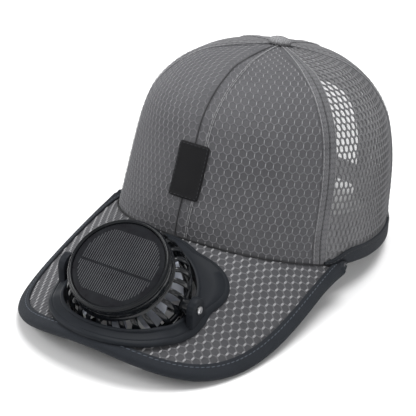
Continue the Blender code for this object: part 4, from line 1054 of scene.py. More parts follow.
def addSeamBand(bag, angle, rows, along, taper, half, lift, wall):
    # A band over the seam with a groove along its middle, and its underside inside the crown.
    asides = bandSection["asides"] * half * mm
    outer = crownStrip(angle, rows, asides, bandLifts(lift * mm), taper)
    flat = pairs(asides, along[:, None] * 0.3) / mm
    faces = gridFaces(len(rows), len(asides))
    groove = np.tile(np.arange(len(asides) - 1) == len(asides) // 2 - 1, len(rows) - 1)
    addPart(bag, outer, faces[~groove], 0, flat)
    # the groove along the band's middle takes the near-black groove finish: painted shade in the crevice
    addPart(bag, outer, faces[groove], 1, flat)
    near = wall + bandSection["underGap"]
    for depth, turned in ((near, -1), (near + bandSection["underThick"], 1)):
        lifts = np.full(len(asides), -depth)
        under = crownStrip(angle, rows, asides * bandSection["under"], lifts, taper)
        addPart(bag, under, faces[:, ::turned], 0, flat)


def addSeamGroove(bag, angle, rows, taper):
    asides = grooveSection["asides"]
    strip = crownStrip(angle, rows, asides, grooveSection["lifts"], taper)
    faces = gridFaces(len(rows), len(asides))
    middle = np.tile(np.arange(len(asides) - 1) == len(asides) // 2 - 1, len(rows) - 1)
    addPart(bag, strip, faces[~middle], 0)
    # the plain seam's middle takes the near-black groove finish: painted shade in the crevice
    addPart(bag, strip, faces[middle], 1)


def makeSeam(name, turn, half, lift, offsets, side):
    angle = math.radians(turn) * side
    bag = newBag()
    low = opening["height"] + 1.0 * mm if turn == 180.0 else 0.0
    if turn == 0.0:
        low = visor["thickness"] + 2.0 * visor["gap"]
    rows = seamRows(angle, low)
    taper = np.clip((topRow + seamTaper["past"] - rows) / seamTaper["over"], seamTaper["least"], 1.0)
    point, _, out = crownFrame(np.full(len(rows), angle), rows)
    onFront = turn < 100.0
    if half:
        wall = crown["frontWall"] if onFront else crown["netWall"]
        addSeamBand(bag, angle, rows, arcLength(point), taper, half, lift, wall)
    else:
        addSeamGroove(bag, angle, rows, taper)
    for offset in offsets:
        high = np.array([(lift + seamStitch["over"]) * mm])
        path = crownStrip(angle, rows, np.array([offset * mm]), high, taper)[:, 0]
        addStitches(bag, path, out, seamStitch, 2)
    finishPiece(name, bag, ["seam", "groove", "thread"], "cap")


def makeCrown():
    for label, side in (("left", 1.0), ("right", -1.0)):
        makeFrontPanel("panel_front_" + label, crown["seamSide"], side)
        makeNetPanel("panel_side_" + label, crown["seamSide"], crown["seamRear"], side)
        makeNetPanel("panel_back_" + label, crown["seamRear"], 180.0, side, cutOpening=True)
    for name, turn, half, lift, offsets in seamTable:
        middle = turn in (0.0, 180.0)
        for ending, side in ((("", 1.0),) if middle else (("_left", 1.0), ("_right", -1.0))):
            makeSeam(name + ending, turn, half, lift, offsets, side)


# Button, patch and the bands

buttonLook = {
    "radius": 6.8 * mm, "height": 4.3 * mm, "gathers": 14, "gather": 0.28 * mm, "lift": 0.3 * mm,
    "footShare": 0.80, "brimShare": 0.90, "footDeep": 0.9 * mm, "segments": 108, "clothLength": 11.0,
}


def makeButton():
    bag = newBag()
    low = crown["height"] + buttonLook["lift"]
    radius, height, segments = buttonLook["radius"], buttonLook["height"], buttonLook["segments"]
    foot = radius * buttonLook["footShare"]
    turns = np.linspace(-0.35, math.pi / 2.0, 26)
    profile = [(foot, low), (radius * buttonLook["brimShare"], low)]
    profile += [(radius * math.cos(t), low + height * (0.28 + 0.72 * math.sin(t))) for t in turns[3:-1]]
    loops = turnedPoints(profile, segments)
    angles = fullTurn(segments)
    waves = np.sin(buttonLook["gathers"] * angles)[:, None] * np.linspace(1.0, 0.2, loops.shape[1])
    loops[..., :2] *= (1.0 + buttonLook["gather"] / radius * waves)[..., None]
    loops[..., 1] -= crown["apexForward"]
    up = np.linspace(0.0, 1.0, loops.shape[1]) * buttonLook["clothLength"]
    flat = pairs(angles[:, None] * radius / mm, up)
    addPart(bag, loops, gridFaces(segments, loops.shape[1], closedAlong=True), 0, flat)
    crest = loops[:, -1]
    centre = crest.mean(axis=0, keepdims=True) + np.array([[0.0, 0.0, 0.03 * mm]])
    addPart(bag, np.vstack([crest, centre]), fanFaces(segments))
    # the neck under the button takes the near-black groove finish: painted shade beneath it
    neck = turnedPoints([(foot, low), (foot, low - buttonLook["footDeep"])], 48)
    neck[..., 1] -= crown["apexForward"]
    addPart(bag, neck, gridFaces(48, 2, closedAlong=True), 1)
    finishPiece("top_button", bag, ["button", "groove"], "cap", ["top_button"])


patchLook = {
    "width": 19.0 * mm, "height": 31.0 * mm, "low": 22.0 * mm, "thickness": 1.0 * mm, "fold": 2.1 * mm,
    "foldRise": 0.18 * mm, "edgeRound": 0.7 * mm, "corner": 1.8 * mm, "stitchIn": 1.1 * mm,
    "columns": 39, "rows": 59,
}
patchStitch = {**stitchLook, "length": 1.6 * mm, "lift": 0.0, "width": 0.4 * mm, "height": 0.16 * mm}
patchFoot = visor["thickness"] + visor["gap"] + patchLook["low"]


def makePatch():
    # A bare woven patch with its edges folded under and stitched down.
    bag = newBag()
    across = np.linspace(-0.5, 0.5, patchLook["columns"]) * patchLook["width"]
    up = np.linspace(0.0, 1.0, patchLook["rows"]) * patchLook["height"]
    row = rowAtHeight(0.0, patchFoot + up)
    side = sectionShares(row)[:, 2]
    fromEnd = np.minimum(np.minimum(up, up[-1] - up), patchLook["corner"]) / patchLook["corner"]
    narrow = patchLook["corner"] * (1.0 - np.sqrt(1.0 - (1.0 - fromEnd) ** 2))
    width = across[None] * (1.0 - 2.0 * narrow / patchLook["width"])[:, None]
    angle = width / (crown["halfWidth"] * side[:, None])
    inset = np.minimum(np.minimum(across - across[0], across[-1] - across)[None],
                       np.minimum(up, up[-1] - up)[:, None])
    edge = np.sqrt(np.clip(inset / patchLook["edgeRound"], 0.0, 1.0))
    fold = smoothStep((patchLook["fold"] - inset) / (0.5 * mm) + 0.5)
    rise = patchLook["thickness"] * (0.35 + 0.5 * edge) + patchLook["foldRise"] * fold * edge
    rowGrid = np.broadcast_to(row[:, None], angle.shape)
    outer = crownPoint(angle, rowGrid, visor["gap"] + rise)
    inner = crownPoint(angle, rowGrid, visor["gap"])
    addWall(bag, outer, inner, flat=pairs(across, up[:, None]) / mm)
    stitchPatch(bag)
    finishPiece("front_patch", bag, ["patch", "darkThread"], "cap", ["front_patch"])


def stitchPatch(bag):
    # A row of stitches round the patch, a little way in from its edges.
    low = patchLook["stitchIn"]
    high = patchLook["height"] - low
    x = patchLook["width"] / 2.0 - low
    box = np.array([(-x, low), (x, low), (x, high), (-x, high), (-x, low)])
    total = arcLength(box)
    at = np.linspace(0.0, total[-1], 160)
    line = np.stack([np.interp(at, total, box[:, k]) for k in (0, 1)], axis=-1)
    row = rowAtHeight(0.0, patchFoot + line[:, 1])
    angle = line[:, 0] / (crown["halfWidth"] * sectionShares(row)[:, 2])
    point, _, out = crownFrame(angle, row)
    lift = visor["gap"] + patchLook["thickness"] * 0.85 + 0.1 * mm
    addStitches(bag, point + out * lift, out, patchStitch, 1)


tapeLook = {
    "overlap": 16.0 * mm, "grow": 21.0 * mm, "startShare": 0.12, "visorTop": 6.6 * mm,
    "stitchIn": 4.9 * mm, "topRound": 2.0 * mm, "lowRound": 1.3 * mm, "endThin": 0.8,
    "baseStitch": 1.6 * mm, "rearStitch": 1.4 * mm, "underGap": 0.7 * mm,
}


def addTape(bag, loops, column, station):
    # A tape's sweep, with its cloth measured along one of its lines and round one of its sections.
    flat = pairs(arcLength(loops[:, column])[:, None], arcLength(loops[station])) / mm
    addSweep(bag, loops, flat=flat)


def makeBaseBinding(name, side):
    # Tape folded over the crown's lower edge, from an end of the visor to the rear opening.
    bag = newBag()
    gap, thick = visor["gap"], visor["tapeThickness"]
    fold = gap + thick
    start = visor["endAngle"] - tapeLook["overlap"] / crown["halfWidth"]
    angles = np.linspace(start, math.pi - opening["turn"], 140) * side
    grow = smoothStep((np.abs(angles) - start) * crown["halfWidth"] / tapeLook["grow"])
    tall = tapeTop * (tapeLook["startShare"] + (1.0 - tapeLook["startShare"]) * grow)
    high = rowAtHeight(angles, tall)
    mid = rowAtHeight(angles, tall * 0.5)
    inside = -crown["netWall"]
    back = inside - fold
    zero = np.zeros(len(angles))
    # row, outward and drop below the panels' edge, from the outer top round to the inner top
    table = [
        (high, fold - 0.25 * mm, 0.0), (high - 0.01, fold, 0.0), (mid, fold + 0.05 * mm, 0.0),
        (zero, fold, 0.0), (zero, fold, 0.6 * mm), (zero, fold - 0.35 * mm, 1.1 * mm),
        (zero, fold - 0.8 * mm, fold), (zero, back + 0.8 * mm, fold), (zero, back + 0.35 * mm, 1.1 * mm),
        (zero, back, 0.6 * mm), (zero, back, 0.0), (mid, back, 0.0), (high, back + 0.25 * mm, 0.0),
        (high, inside - gap, 0.0), (mid, inside - gap, 0.0), (zero, inside - gap, gap), (zero, gap, gap),
        (mid, gap, 0.0), (high, -0.1 * mm, 0.0), (high, 0.1 * mm, 0.0),
    ]
    loops = np.stack([crownPoint(angles, row, outward) - np.array([0.0, 0.0, drop])
                      for row, outward, drop in table], axis=1)
    addTape(bag, loops, 0, 60)
    for outward, flip in ((fold, 1.0), (back, -1.0)):
        rows = rowAtHeight(angles, tall - tapeLook["baseStitch"])
        point, _, out = crownFrame(angles, rows)
        addStitches(bag, point + out * outward, out * flip, stitchLook, 1)
    finishPiece(name, bag, ["tape", "darkThread"], "cap", [name])


def openingCurve(turn, away):
    # The crown's frame at points off the rear opening's edge, by a distance along the cloth.
    def edge(t):
        share = 2.0 / opening["exponent"]
        height = opening["height"] * np.abs(np.sin(t)) ** share
        return math.pi - opening["turn"] * power(np.cos(t), share), height

    step = 0.02
    a0, h0 = edge(np.maximum(turn - step, 0.0))
    a1, h1 = edge(np.minimum(turn + step, math.pi))
    across, rise = (a1 - a0) * crown["halfWidth"], h1 - h0
    length = np.hypot(across, rise)
    angle, height = edge(turn)
    angle = angle - away * rise / length / crown["halfWidth"]
    height = height + away * across / length
    return crownFrame(angle, rowAtHeight(angle, height))


def makeRearBinding():
    bag = newBag()
    gap = visor["gap"]
    fold = gap + visor["tapeThickness"]
    inner = -(crown["netWall"] + tapeLook["underGap"])
    face = inner - visor["tapeThickness"]
    wide = opening["tape"]
    # distance away from the opening and height, from the outer face round to the inner
    section = [
        (wide, fold - 0.2 * mm), (wide - 0.3 * mm, fold), (0.5 * wide, fold + 0.05 * mm), (0.0, fold),
        (-0.8 * mm, fold - 0.15 * mm), (-fold, fold - 0.9 * mm), (-fold, face + 0.9 * mm),
        (-0.8 * mm, face + 0.15 * mm), (0.0, face), (0.5 * wide, face), (wide, face + 0.2 * mm),
        (wide, inner), (0.0, inner), (-gap, inner), (-gap, gap), (0.0, gap), (0.5 * wide, gap), (wide, gap),
    ]
    foot = (crown["tapeHigh"] - visor["tapeThickness"]) / opening["height"]
    first = math.asin(foot ** (opening["exponent"] / 2.0))
    steps = 28
    rise = math.pi / 2.0 * (np.arange(1, steps + 1) / steps) ** (opening["exponent"] / 2.0)
    rise = rise[rise > first + 0.01]
    turns = np.concatenate([[first], rise, math.pi - rise[:-1][::-1], [math.pi - first]])
    loops = []
    for away, outward in section:
        point, _, out = openingCurve(turns, away)
        loops.append(point + out * outward)
    loops = np.stack(loops, axis=1)
    addTape(bag, loops, 0, 10)
    for outward, flip in ((fold, 1.0), (face, -1.0)):
        point, _, out = openingCurve(turns, wide - tapeLook["rearStitch"])
        addStitches(bag, point + out * outward, out * flip, stitchLook, 1)
    finishPiece("rear_binding", bag, ["tape", "darkThread"], "cap", ["rear_binding"])


bandLook = {
    "strapLow": 6.0 * mm, "strapHeight": 15.0 * mm, "strapThickness": 1.6 * mm, "deeper": 2.3 * mm,
    "hold": math.radians(14.0), "lap": math.radians(10.0), "low": 1.5 * mm, "height": 26.5 * mm,
    "thickness": 1.6 * mm, "depth": 3.6 * mm, "stitchIn": 2.0 * mm, "padding": 0.3 * mm,
    "strapSteps": 50, "bandSteps": 220,
}


def makeBand(name, first, last, low, high, depth, thickness, steps, padded):
    # A band of cloth inside the crown, with rounded long edges and a row of stitches at each.
    bag = newBag()
    angles = np.linspace(first, last, steps)
    shares = np.concatenate([[0.0, 0.03, 0.08], np.linspace(0.16, 0.84, 9), [0.92, 0.97, 1.0]])
    swell = np.sqrt(np.clip(np.minimum(shares, 1.0 - shares) / 0.06, 0.0, 1.0))
    puff = padded * np.sin(np.pi * shares)
    outer, inner = [], []
    for share, full, extra in zip(shares, swell, puff):
        rows = rowAtHeight(angles, np.full(steps, low + (high - low) * share))
        outer.append(crownPoint(angles, rows, -depth - thickness * (0.5 - 0.5 * full)))
        inner.append(crownPoint(angles, rows, -depth - thickness * (0.5 + 0.5 * full) - extra))
    outer, inner = np.stack(outer), np.stack(inner)
    flat = pairs(arcLength(outer[0]), (shares * (high - low))[:, None]) / mm
    addWall(bag, outer, inner, flat=flat)
    for height in (low + bandLook["stitchIn"], high - bandLook["stitchIn"]):
        point, _, out = crownFrame(angles, rowAtHeight(angles, np.full(steps, height)))
        addStitches(bag, point - out * depth, out, stitchLook, 1)
        addStitches(bag, point - out * (depth + thickness + padded * 0.2), -out, stitchLook, 1)
    finishPiece(name, bag, ["band", "darkThread"], "cap", [name])


def makeBands():
    first = math.pi - opening["turn"] - bandLook["hold"]
    last = math.pi + bandLook["lap"]
    low, high = bandLook["strapLow"], bandLook["strapLow"] + bandLook["strapHeight"]
    thick, steps = bandLook["strapThickness"], bandLook["strapSteps"]
    under = bandLook["depth"] + bandLook["deeper"]
    makeBand("rear_strap_left", first, last, low, high, bandLook["depth"], thick, steps, 0.0)
    makeBand("rear_strap_right", -first, -last, low, high, under, thick, steps, 0.0)
    end = first - 1.5 * mm / crown["halfWidth"]
    low, high = bandLook["low"], bandLook["low"] + bandLook["height"]
    makeBand("sweatband", -end, end, low, high, bandLook["depth"], bandLook["thickness"],
             bandLook["bandSteps"], bandLook["padding"])


# Visor

creaseLook = {"radius": 0.5 * mm, "out": 0.2 * mm, "up": 0.35 * mm}
visorLook = {
    "strand": 0.7 * mm, "shares": (0.0, 0.6, 1.0), "roundness": 0.6, "raised": 0.28 * mm, "sunk": 0.25 * mm,
    "dashLength": 2.6 * mm, "dashWidth": 0.95 * mm, "dashHeight": 0.4 * mm, "holeInside": 41.5 * mm,
    "bevel": 0.06 * mm, "tuck": 0.02 * mm, "dashSunk": 0.1 * mm, "underTape": 2.0 * mm,
    "underPlate": 5.0 * mm,
}
# the visor's cloth lies a little askew: where its sideways and its lengthways unit steps go
visorSkew = np.array([(0.954, 0.115), (0.198, 1.041)])


def fromFanMiddle(points):
    # How far points are from the fan's middle, in the plane of the visor's slope.
    away = points - fanPlace
    back = away[..., 1] * math.cos(visor["slope"]) + away[..., 2] * math.sin(visor["slope"])
    return np.hypot(away[..., 0], back)


def addVisorBoard(bag):
    # The plain board below the linked cloth, open under the fan plate.
    shares = visorShares()
    inwards = np.linspace(0.0, 1.0, 46)
    edge = inwardShare(shares, visor["tapeThickness"] + visor["gap"])
    grid = edge[None] + (1.0 - edge[None]) * inwards[:, None]
    shareGrid = np.broadcast_to(shares[None], grid.shape)
    top = visorPoint(shareGrid, grid, -visorLook["sunk"])
    low = visorPoint(shareGrid, grid, -visorDepth(shareGrid))

    def keep(middles):
        return fromFanMiddle(middles) > visorLook["holeInside"]

    addWall(bag, top, low, flat=top[..., :2] / mm, keep=keep)


def seenFromAbove(flat):
    # The visor's cloth is laid out along its slope, and is shorter that way in plan.
    return flat * np.array([1.0, math.cos(visor["slope"])])


def onVisor(flat, lift):
    share, inward = findOnVisor(seenFromAbove(flat))
    return visorPoint(share, inward, lift)


def visorCells():
    # Middles of the cells that lie inside the tape and clear of the fan plate.
    slope = math.cos(visor["slope"])
    lowCorner = (-visorHalf, (fanPlace[1] - plateRadius) / slope)
    highCorner = (visorHalf, visorEnd / slope)
    centres = hexCentres(lowCorner, highCorner, visorSkew)
    plan = seenFromAbove(centres)
    share, inward = findOnVisor(plan)
    on = np.linalg.norm(visorPlan(share, inward) - plan, axis=-1) < 0.4 * hexCloth["width"]
    inner = inward > inwardShare(share, tapeLook["visorTop"] - visorLook["underTape"])
    clear = fromFanMiddle(visorTop(share, inward)) > plateRadius - visorLook["underPlate"]
    return centres[on & inner & clear]


def makeVisor():
    bag = newBag()
    addVisorBoard(bag)
    centres = visorCells()
    high = visorLook["raised"] - visorLook["sunk"]
    low = -visorLook["sunk"] - visorLook["tuck"]
    addHexCloth(bag, centres, onVisor, visorLook, [high, high - visorLook["bevel"], low], 1, visorSkew)
    starts = centres + visorSkew[:, 0] * hexCloth["width"] / 2.0
    way = np.tile(unit(visorSkew[:, 1]), (len(starts), 1))
    foot = high - visorLook["dashSunk"]
    addBeads(bag, lambda f, r: onVisor(f, r + foot), starts, way, visorLook["dashLength"],
             visorLook["dashWidth"], visorLook["dashHeight"], 2)
    finishPiece("visor", bag, ["visorCloth", "visorStrand", "dash"], "cap", ["visor"])


def makeVisorBinding():
    # Tape folded over the visor's outer edge, stitched through near its inner side.
    bag = newBag()
    shares = visorShares(180, 20)
    gap, thick = visor["gap"], visor["tapeThickness"]
    thin = 1.0 - tapeLook["endThin"] * runIn(shares) ** 2
    fold = (gap + thick) * thin
    depth = visorDepth(shares)
    wide = inwardShare(shares, visor["tape"])
    seen = inwardShare(shares, tapeLook["visorTop"])
    edge = inwardShare(shares, thick)
    over = inwardShare(shares, tapeLook["topRound"])
    below = inwardShare(shares, tapeLook["lowRound"])
    half = depth / 2.0 + fold
    # inward share and height, from the top's inner side over the edge to the underside
    table = [
        (seen, fold - 0.3 * mm * thin), (seen * 0.96, fold), (seen * 0.6, fold + 0.05 * mm),
        (over, fold - 0.02 * mm), (over * 0.5, fold - 0.16 * half), (over * 0.17, fold - 0.44 * half),
        (over * 0.02, fold - 0.8 * half), (below * 0.02, 0.8 * half - depth - fold),
        (below * 0.17, 0.4 * half - depth - fold), (below * 0.5, 0.12 * half - depth - fold),
        (below, -depth - fold), (wide * 0.5, -depth - fold), (wide, -depth - fold + 0.2 * mm),
        (wide, -depth - gap), (wide * 0.5, -depth - gap), (edge, -depth - gap), (edge, gap),
        (seen * 0.5, gap), (seen, gap), (seen, gap + 0.1 * mm),
    ]
    loops = np.stack([visorPoint(shares, inward, np.broadcast_to(height, shares.shape))
                      for inward, height in table], axis=1)
    addTape(bag, loops, 5, len(shares) // 2)
    middle = np.abs(shares) < visor["sideEnd"] + 0.02
    inward = inwardShare(shares, tapeLook["stitchIn"])
    point, _, out = visorFrame(shares, inward)
    for lift, flip in ((fold, 1.0), (-depth - fold, -1.0)):
        path = (point + out * np.broadcast_to(lift, shares.shape)[:, None])[middle]
        addStitches(bag, path, out[middle] * flip, stitchLook, 1)
    finishPiece("visor_binding", bag, ["tape", "tapeThread"], "cap", ["visor_binding"])


def makeCrease():
    # A dark cord of painted shade where the crown meets the visor's top.
    bag = newBag()
    shares = np.linspace(-0.985, 0.985, 140)
    turns = fullTurn(8)
    point, _, _ = visorFrame(shares, np.ones_like(shares))
    x, y = basePlan(shares * visor["endAngle"])
    out = unit(vectors(x / crown["halfWidth"] ** 2, y / crown["front"] ** 2, np.zeros_like(x)))
    radius = creaseLook["radius"]
    loops = (point[:, None] + out[:, None] * (np.cos(turns) * radius + creaseLook["out"])[None, :, None]
             + np.array([0.0, 0.0, 1.0]) * (np.sin(turns) * radius + creaseLook["up"])[None, :, None])
    addSweep(bag, loops)
    finishPiece("crease_painted_shade", bag, ["groove"], "cap")


# Fan plate, with its ears

def platePoint(angle, radius, height):
    x = radius * np.sin(angle)
    back = -radius * np.cos(angle)
    arch = visor["arch"] * (x / visorHalf) ** 2 * math.cos(visor["slope"])
    up = height - arch
    return fanPlace + vectors(x, back * math.cos(visor["slope"]) + up * slopeUp[1],
                              back * math.sin(visor["slope"]) + up * slopeUp[2])


def plateOutline(angle):
    turn = np.abs((angle + math.pi) % (2.0 * math.pi) - math.pi)
    away = np.abs(turn - plate["lobeAngle"]) / plate["lobeSpread"]
    return plateRadius + plate["lobeReach"] * np.cos(np.minimum(away, 1.0) * math.pi / 2.0) ** 1.4


def tapeLift(angle, radius):
    point = platePoint(angle, radius, 0.0)
    across = np.minimum(np.abs(point[..., 0]) / visorHalf, 1.0)
    depth = crown["front"] + visorReach + visorEnd
    edge = visorEnd - depth * (1.0 - across ** visor["sideExponent"]) ** (1.0 / visor["frontExponent"])
    near = (visor["tape"] + plate["tapeCleared"] - (point[..., 1] - edge)) / plate["tapeRamp"]
    return visor["gap"] + (visor["gap"] + visor["tapeThickness"]) * smoothStep(near)


collarRadius = plate["opening"] + plate["lipWidth"]
earInner = collarRadius + plate["earClearance"]


def makePlate():
    bag = newBag()
    stations = 208
    angles = fullTurn(stations)
    edge = plateOutline(angles)
    under = tapeLift(angles, edge)
    top = under + plate["thickness"]
    lip = plate["lip"]
    hole, collar = np.full(stations, plate["opening"]), np.full(stations, collarRadius)
    foot = -(plate["clampDrop"] + plate["clampThickness"])
    crest, middle = top + lip, (collar + edge) / 2.0
    # radius and height round the plate's section: lip, top with its groove, rim, underside, collar
    table = [
        (hole, crest - 0.35 * mm), (hole + 0.12 * mm, crest - 0.1 * mm), (hole + 0.45 * mm, crest),
        (collar - 0.45 * mm, crest), (collar - 0.1 * mm, crest - 0.12 * mm),
        (collar + 0.05 * mm, crest - 0.4 * mm), (collar + 0.2 * mm, top + 0.25 * mm),
        (collar + 0.7 * mm, top), (middle, top + 0.1 * mm),
        (edge - 2.9 * mm, top), (edge - 2.7 * mm, top - 0.22 * mm), (edge - 2.4 * mm, top - 0.22 * mm),
        (edge - 2.2 * mm, top), (edge - 0.9 * mm, top - 0.05 * mm), (edge - 0.3 * mm, top - 0.35 * mm),
        (edge, top - 0.9 * mm), (edge, under + 0.2 * mm), (edge - 0.2 * mm, under), (middle, under),
        (collar, under), (collar, np.full(stations, foot)), (hole, np.full(stations, foot)),
    ]
    loops = np.stack([platePoint(angles, radius, height) for radius, height in table], axis=1)
    addSweep(bag, loops, closed=True)
    turnMatrix = np.array(capMatrix.inverted() @ mountMatrix)
    for side in (-1.0, 1.0):
        for points, faces in earParts(side):
            points = points @ turnMatrix[:3, :3].T + turnMatrix[:3, 3]
            addPart(bag, points, faces, 0)
    finishPiece("fan_plate", bag, ["plate"], "cap", ["fan_plate"])


def earParts(side):
    # A round topped ear with soft edges, and three ridges down its front.
    turns = np.linspace(0.0, math.pi, 33)
    radius = plate["earRadius"]
    ridges = 0.22 * mm * np.clip(np.cos(turns * 18.0), 0.0, 1.0) * (turns > 2.0)
    sections = []
    inner, outer = earInner, earInner + plate["earThickness"]
    for across, shrink in ((inner, 0.5), (inner + 0.15 * mm, 0.15), (inner + 0.5 * mm, 0.0),
                           (outer - 0.6 * mm, 0.0), (outer - 0.15 * mm, 0.2), (outer, 0.6)):
        arch = visor["arch"] * (across / visorHalf) ** 2 * math.cos(visor["slope"])
        foot = plate["thickness"] / 2.0 - arch - plate["pivotLift"]
        r = radius - shrink * mm - ridges
        base = radius * 1.15 - shrink * mm
        y = np.concatenate([[-base, base], r * np.cos(turns)])
        z = np.concatenate([[foot, foot], r * np.sin(turns)])
        sections.append(vectors(np.full(len(y), side * across), y, z))
    loops = np.stack(sections)
    count, size = loops.shape[:2]
    parts = [(loops.reshape(-1, 3), gridFaces(count, size, closedAcross=True))]
    for end in (0, count - 1):
        ring = loops[end]
        middle = np.vstack([ring, [[ring[0, 0], 0.0, 0.0]]])
        parts.append((middle, fanFaces(size)))
    return parts


# Fan head

headLook = {"segments": 168, "upperRibs": slice(0, 33), "lowerRibs": slice(36, None), "bore": 1.7 * mm}
# the cage's side line, as shares of its reach beyond the drum and of its height or depth
cageSide = np.array([
    (0.00, 1.00), (0.50, 0.83), (0.86, 0.50), (1.00, 0.12), (1.00, -0.16), (0.90, -0.60), (0.66, -1.00),
])
drumTop = head["drumFoot"] + head["drumHeight"]


def cageLine():
    # The cage's outer side below the drum, as radius and height, smoothed.
    r = head["drumRadius"] + (head["cageRadius"] - head["drumRadius"]) * cageSide[:, 0]
    h = cageSide[:, 1] * np.where(cageSide[:, 1] > 0.0, head["drumFoot"], head["cageDepth"])
    points = np.stack([r, h], axis=-1)
    padded = np.vstack([2.0 * points[0] - points[1], points, 2.0 * points[-1] - points[-2]])
    at = np.linspace(0.0, len(points) - 1.0 - 1e-9, 61)
    i = at.astype(int)
    return smoothCurve(padded, i, (at - i)[:, None])


def ring(radius, height, wide, tall):
    # A rounded square section for a turned ring, given by its outer radius and its middle.
    turns = fullTurn(16)
    x = power(np.cos(turns), 0.5) * wide / 2.0
    y = power(np.sin(turns), 0.5) * tall / 2.0
    return np.stack([radius - wide / 2.0 + x, height + y], axis=-1)


def makeCage():
    bag = newBag()
    segments = headLook["segments"]
    wall = head["cageWall"]
    line = cageLine()
    drum = head["drumRadius"]
    top, foot = drumTop, head["drumFoot"]
    profile = [
        (drum - 0.5 * mm, top), (drum - 0.12 * mm, top - 0.15 * mm), (drum, top - 0.5 * mm),
        (drum, foot + 1.6 * mm), (drum - 0.12 * mm, foot + 1.35 * mm), (drum + 0.1 * mm, foot + 1.1 * mm),
        (drum + 0.5 * mm, foot + 0.2 * mm), (drum + 0.7 * mm, foot - 0.4 * mm),
        (drum - 0.6 * mm, foot - 0.7 * mm), (drum - wall, foot - 0.2 * mm),
        (drum - wall, top - 2.0 * mm), (drum - wall, top - 0.2 * mm),
    ]
    addTurned(bag, profile, segments)
    addDisc(bag, drum - wall / 2.0, top - 0.2 * mm, segments)
    addDisc(bag, drum - wall / 2.0, top - 2.0 * mm, segments)
    addTurned(bag, ring(head["cageRadius"], -0.4 * mm, wall, 3.6 * mm), segments)
    lowR, lowH = line[-1]
    addTurned(bag, ring(lowR, lowH - 0.9 * mm, wall, 1.9 * mm), segments)
    for part, sweepStart in ((line[headLook["upperRibs"]], 0.0), (line[headLook["lowerRibs"]], 0.6)):
        addRibs(bag, part, sweepStart)
    addPivotBosses(bag)
    finishPiece("fan_cage", bag, ["housing"], "fan_head", ["fan_cage"], headMatrix)


def addPivotBosses(bag):
    # Round bosses on the cage's two sides, bored for the pivot screws.
    turns = fullTurn(32)
    root, reach = head["cageRadius"] - 1.2 * mm, earInner - visor["gap"]
    boss, bore = head["bossRadius"], headLook["bore"]
    soft = 0.2 * mm
    table = [(root, boss), (reach - soft, boss), (reach, boss - soft), (reach, bore), (root, bore)]
    for side in (-1.0, 1.0):
        loops = np.stack([vectors(np.full(32, side * x), r * np.cos(turns), r * np.sin(turns))
                          for x, r in table])
        addPart(bag, loops, gridFaces(len(table), 32, closedAcross=True))


def addRibs(bag, line, sweepStart):
    # Rounded bars down the cage's side, one for each rib.
    count = head["ribs"]
    share = np.linspace(sweepStart, sweepStart + len(line) / 61.0, len(line))
    tangent = unit(np.gradient(line, axis=0))
    normal = np.stack([-tangent[:, 1], tangent[:, 0]], axis=-1)
    normal *= np.sign(normal[:, :1] + 1e-9)
    wide = head["ribShare"] * math.pi / count * line[:, 0]
    turns = fullTurn(12)
    sideways = power(np.cos(turns), 0.7)
    deep = power(np.sin(turns), 0.7) * head["cageWall"] / 2.0 - head["cageWall"] / 2.0
    r = line[:, 0][:, None] + normal[:, 0][:, None] * deep[None]
    h = line[:, 1][:, None] + normal[:, 1][:, None] * deep[None]
    loops = []
    for k in range(count):
        middle = 2.0 * math.pi * k / count + head["ribSweep"] * share
        angle = middle[:, None] + wide[:, None] * sideways[None] / r
        loops.append(vectors(r * np.sin(angle), -r * np.cos(angle), h))
    for one in loops:
        addSweep(bag, one)


def makeSolarTop():
    bag = newBag()
    low = drumTop + visor["gap"]
    outer = head["drumRadius"]
    wide, tall = head["bezelWidth"], head["bezelHeight"]
    # the bezel's section, in from its outer wall and up, as shares of its width and height
    section = [
        (0.00, 0.00), (-0.05, 0.10), (-0.09, 0.30), (-0.09, 0.50), (-0.05, 0.62), (0.03, 0.70),
        (0.06, 0.66), (0.10, 0.68), (0.16, 0.80), (0.27, 0.92), (0.41, 1.00), (0.58, 1.02),
        (0.74, 0.98), (0.90, 0.90), (1.00, 0.80), (1.00, 0.00),
    ]
    addTurned(bag, [(outer - wide * x, low + tall * y) for x, y in section], headLook["segments"])
    finishPiece("solar_bezel", bag, ["bezel"], "fan_head", ["solar_bezel"], headMatrix)
    makeSolarPanel(low)


solarLook = {"pitch": 1.27 * mm, "line": 0.3 * mm, "rise": 0.05 * mm, "margin": 3.0 * mm, "gap": 1.5 * mm,
             "gapAt": -3.0 * mm, "lines": 35, "reach": 19.0 * mm}


def makeSolarPanel(low):
    # The dark cell, with two blocks of fine lines along it.
    bag = newBag()
    radius = head["drumRadius"] - head["bezelWidth"] - visor["gap"]
    top = low + head["panelThickness"]
    flatRadius = radius - 0.4 * mm
    profile = [(radius, low), (radius, top - 0.2 * mm), (radius - 0.15 * mm, top - 0.03 * mm),
               (flatRadius, top)]
    addTurned(bag, profile, headLook["segments"], closedProfile=False)
    addDisc(bag, flatRadius, top, headLook["segments"])
    addDisc(bag, radius, low, headLook["segments"])
    reach = radius - solarLook["margin"]
    lines = (np.arange(solarLook["lines"]) - (solarLook["lines"] - 1.0) / 2.0) * solarLook["pitch"]
    for x in lines:
        if abs(x) > reach - 0.5 * mm:
            continue
        end = min(math.sqrt(reach ** 2 - x ** 2), solarLook["reach"])
        gapLow = solarLook["gapAt"] - solarLook["gap"] / 2.0
        gapHigh = solarLook["gapAt"] + solarLook["gap"] / 2.0
        for y0, y1 in ((-end, gapLow), (gapHigh, end)):
            if y1 - y0 < 0.8 * mm:
                continue
            half = solarLook["line"] / 2.0
            across = np.array([-half, -half * 0.6, half * 0.6, half])
            rise = np.array([0.0, 1.0, 1.0, 0.0]) * solarLook["rise"] + top - 0.005 * mm
            y = np.array([y0, y0 + 0.1 * mm, y1 - 0.1 * mm, y1])
            points = vectors(x + across[None], y[:, None], rise[None])
            addPart(bag, points, gridFaces(4, 4), 1)
    finishPiece("solar_panel", bag, ["cell", "gridLine"], "fan_head", ["solar_panel"],
                headMatrix)


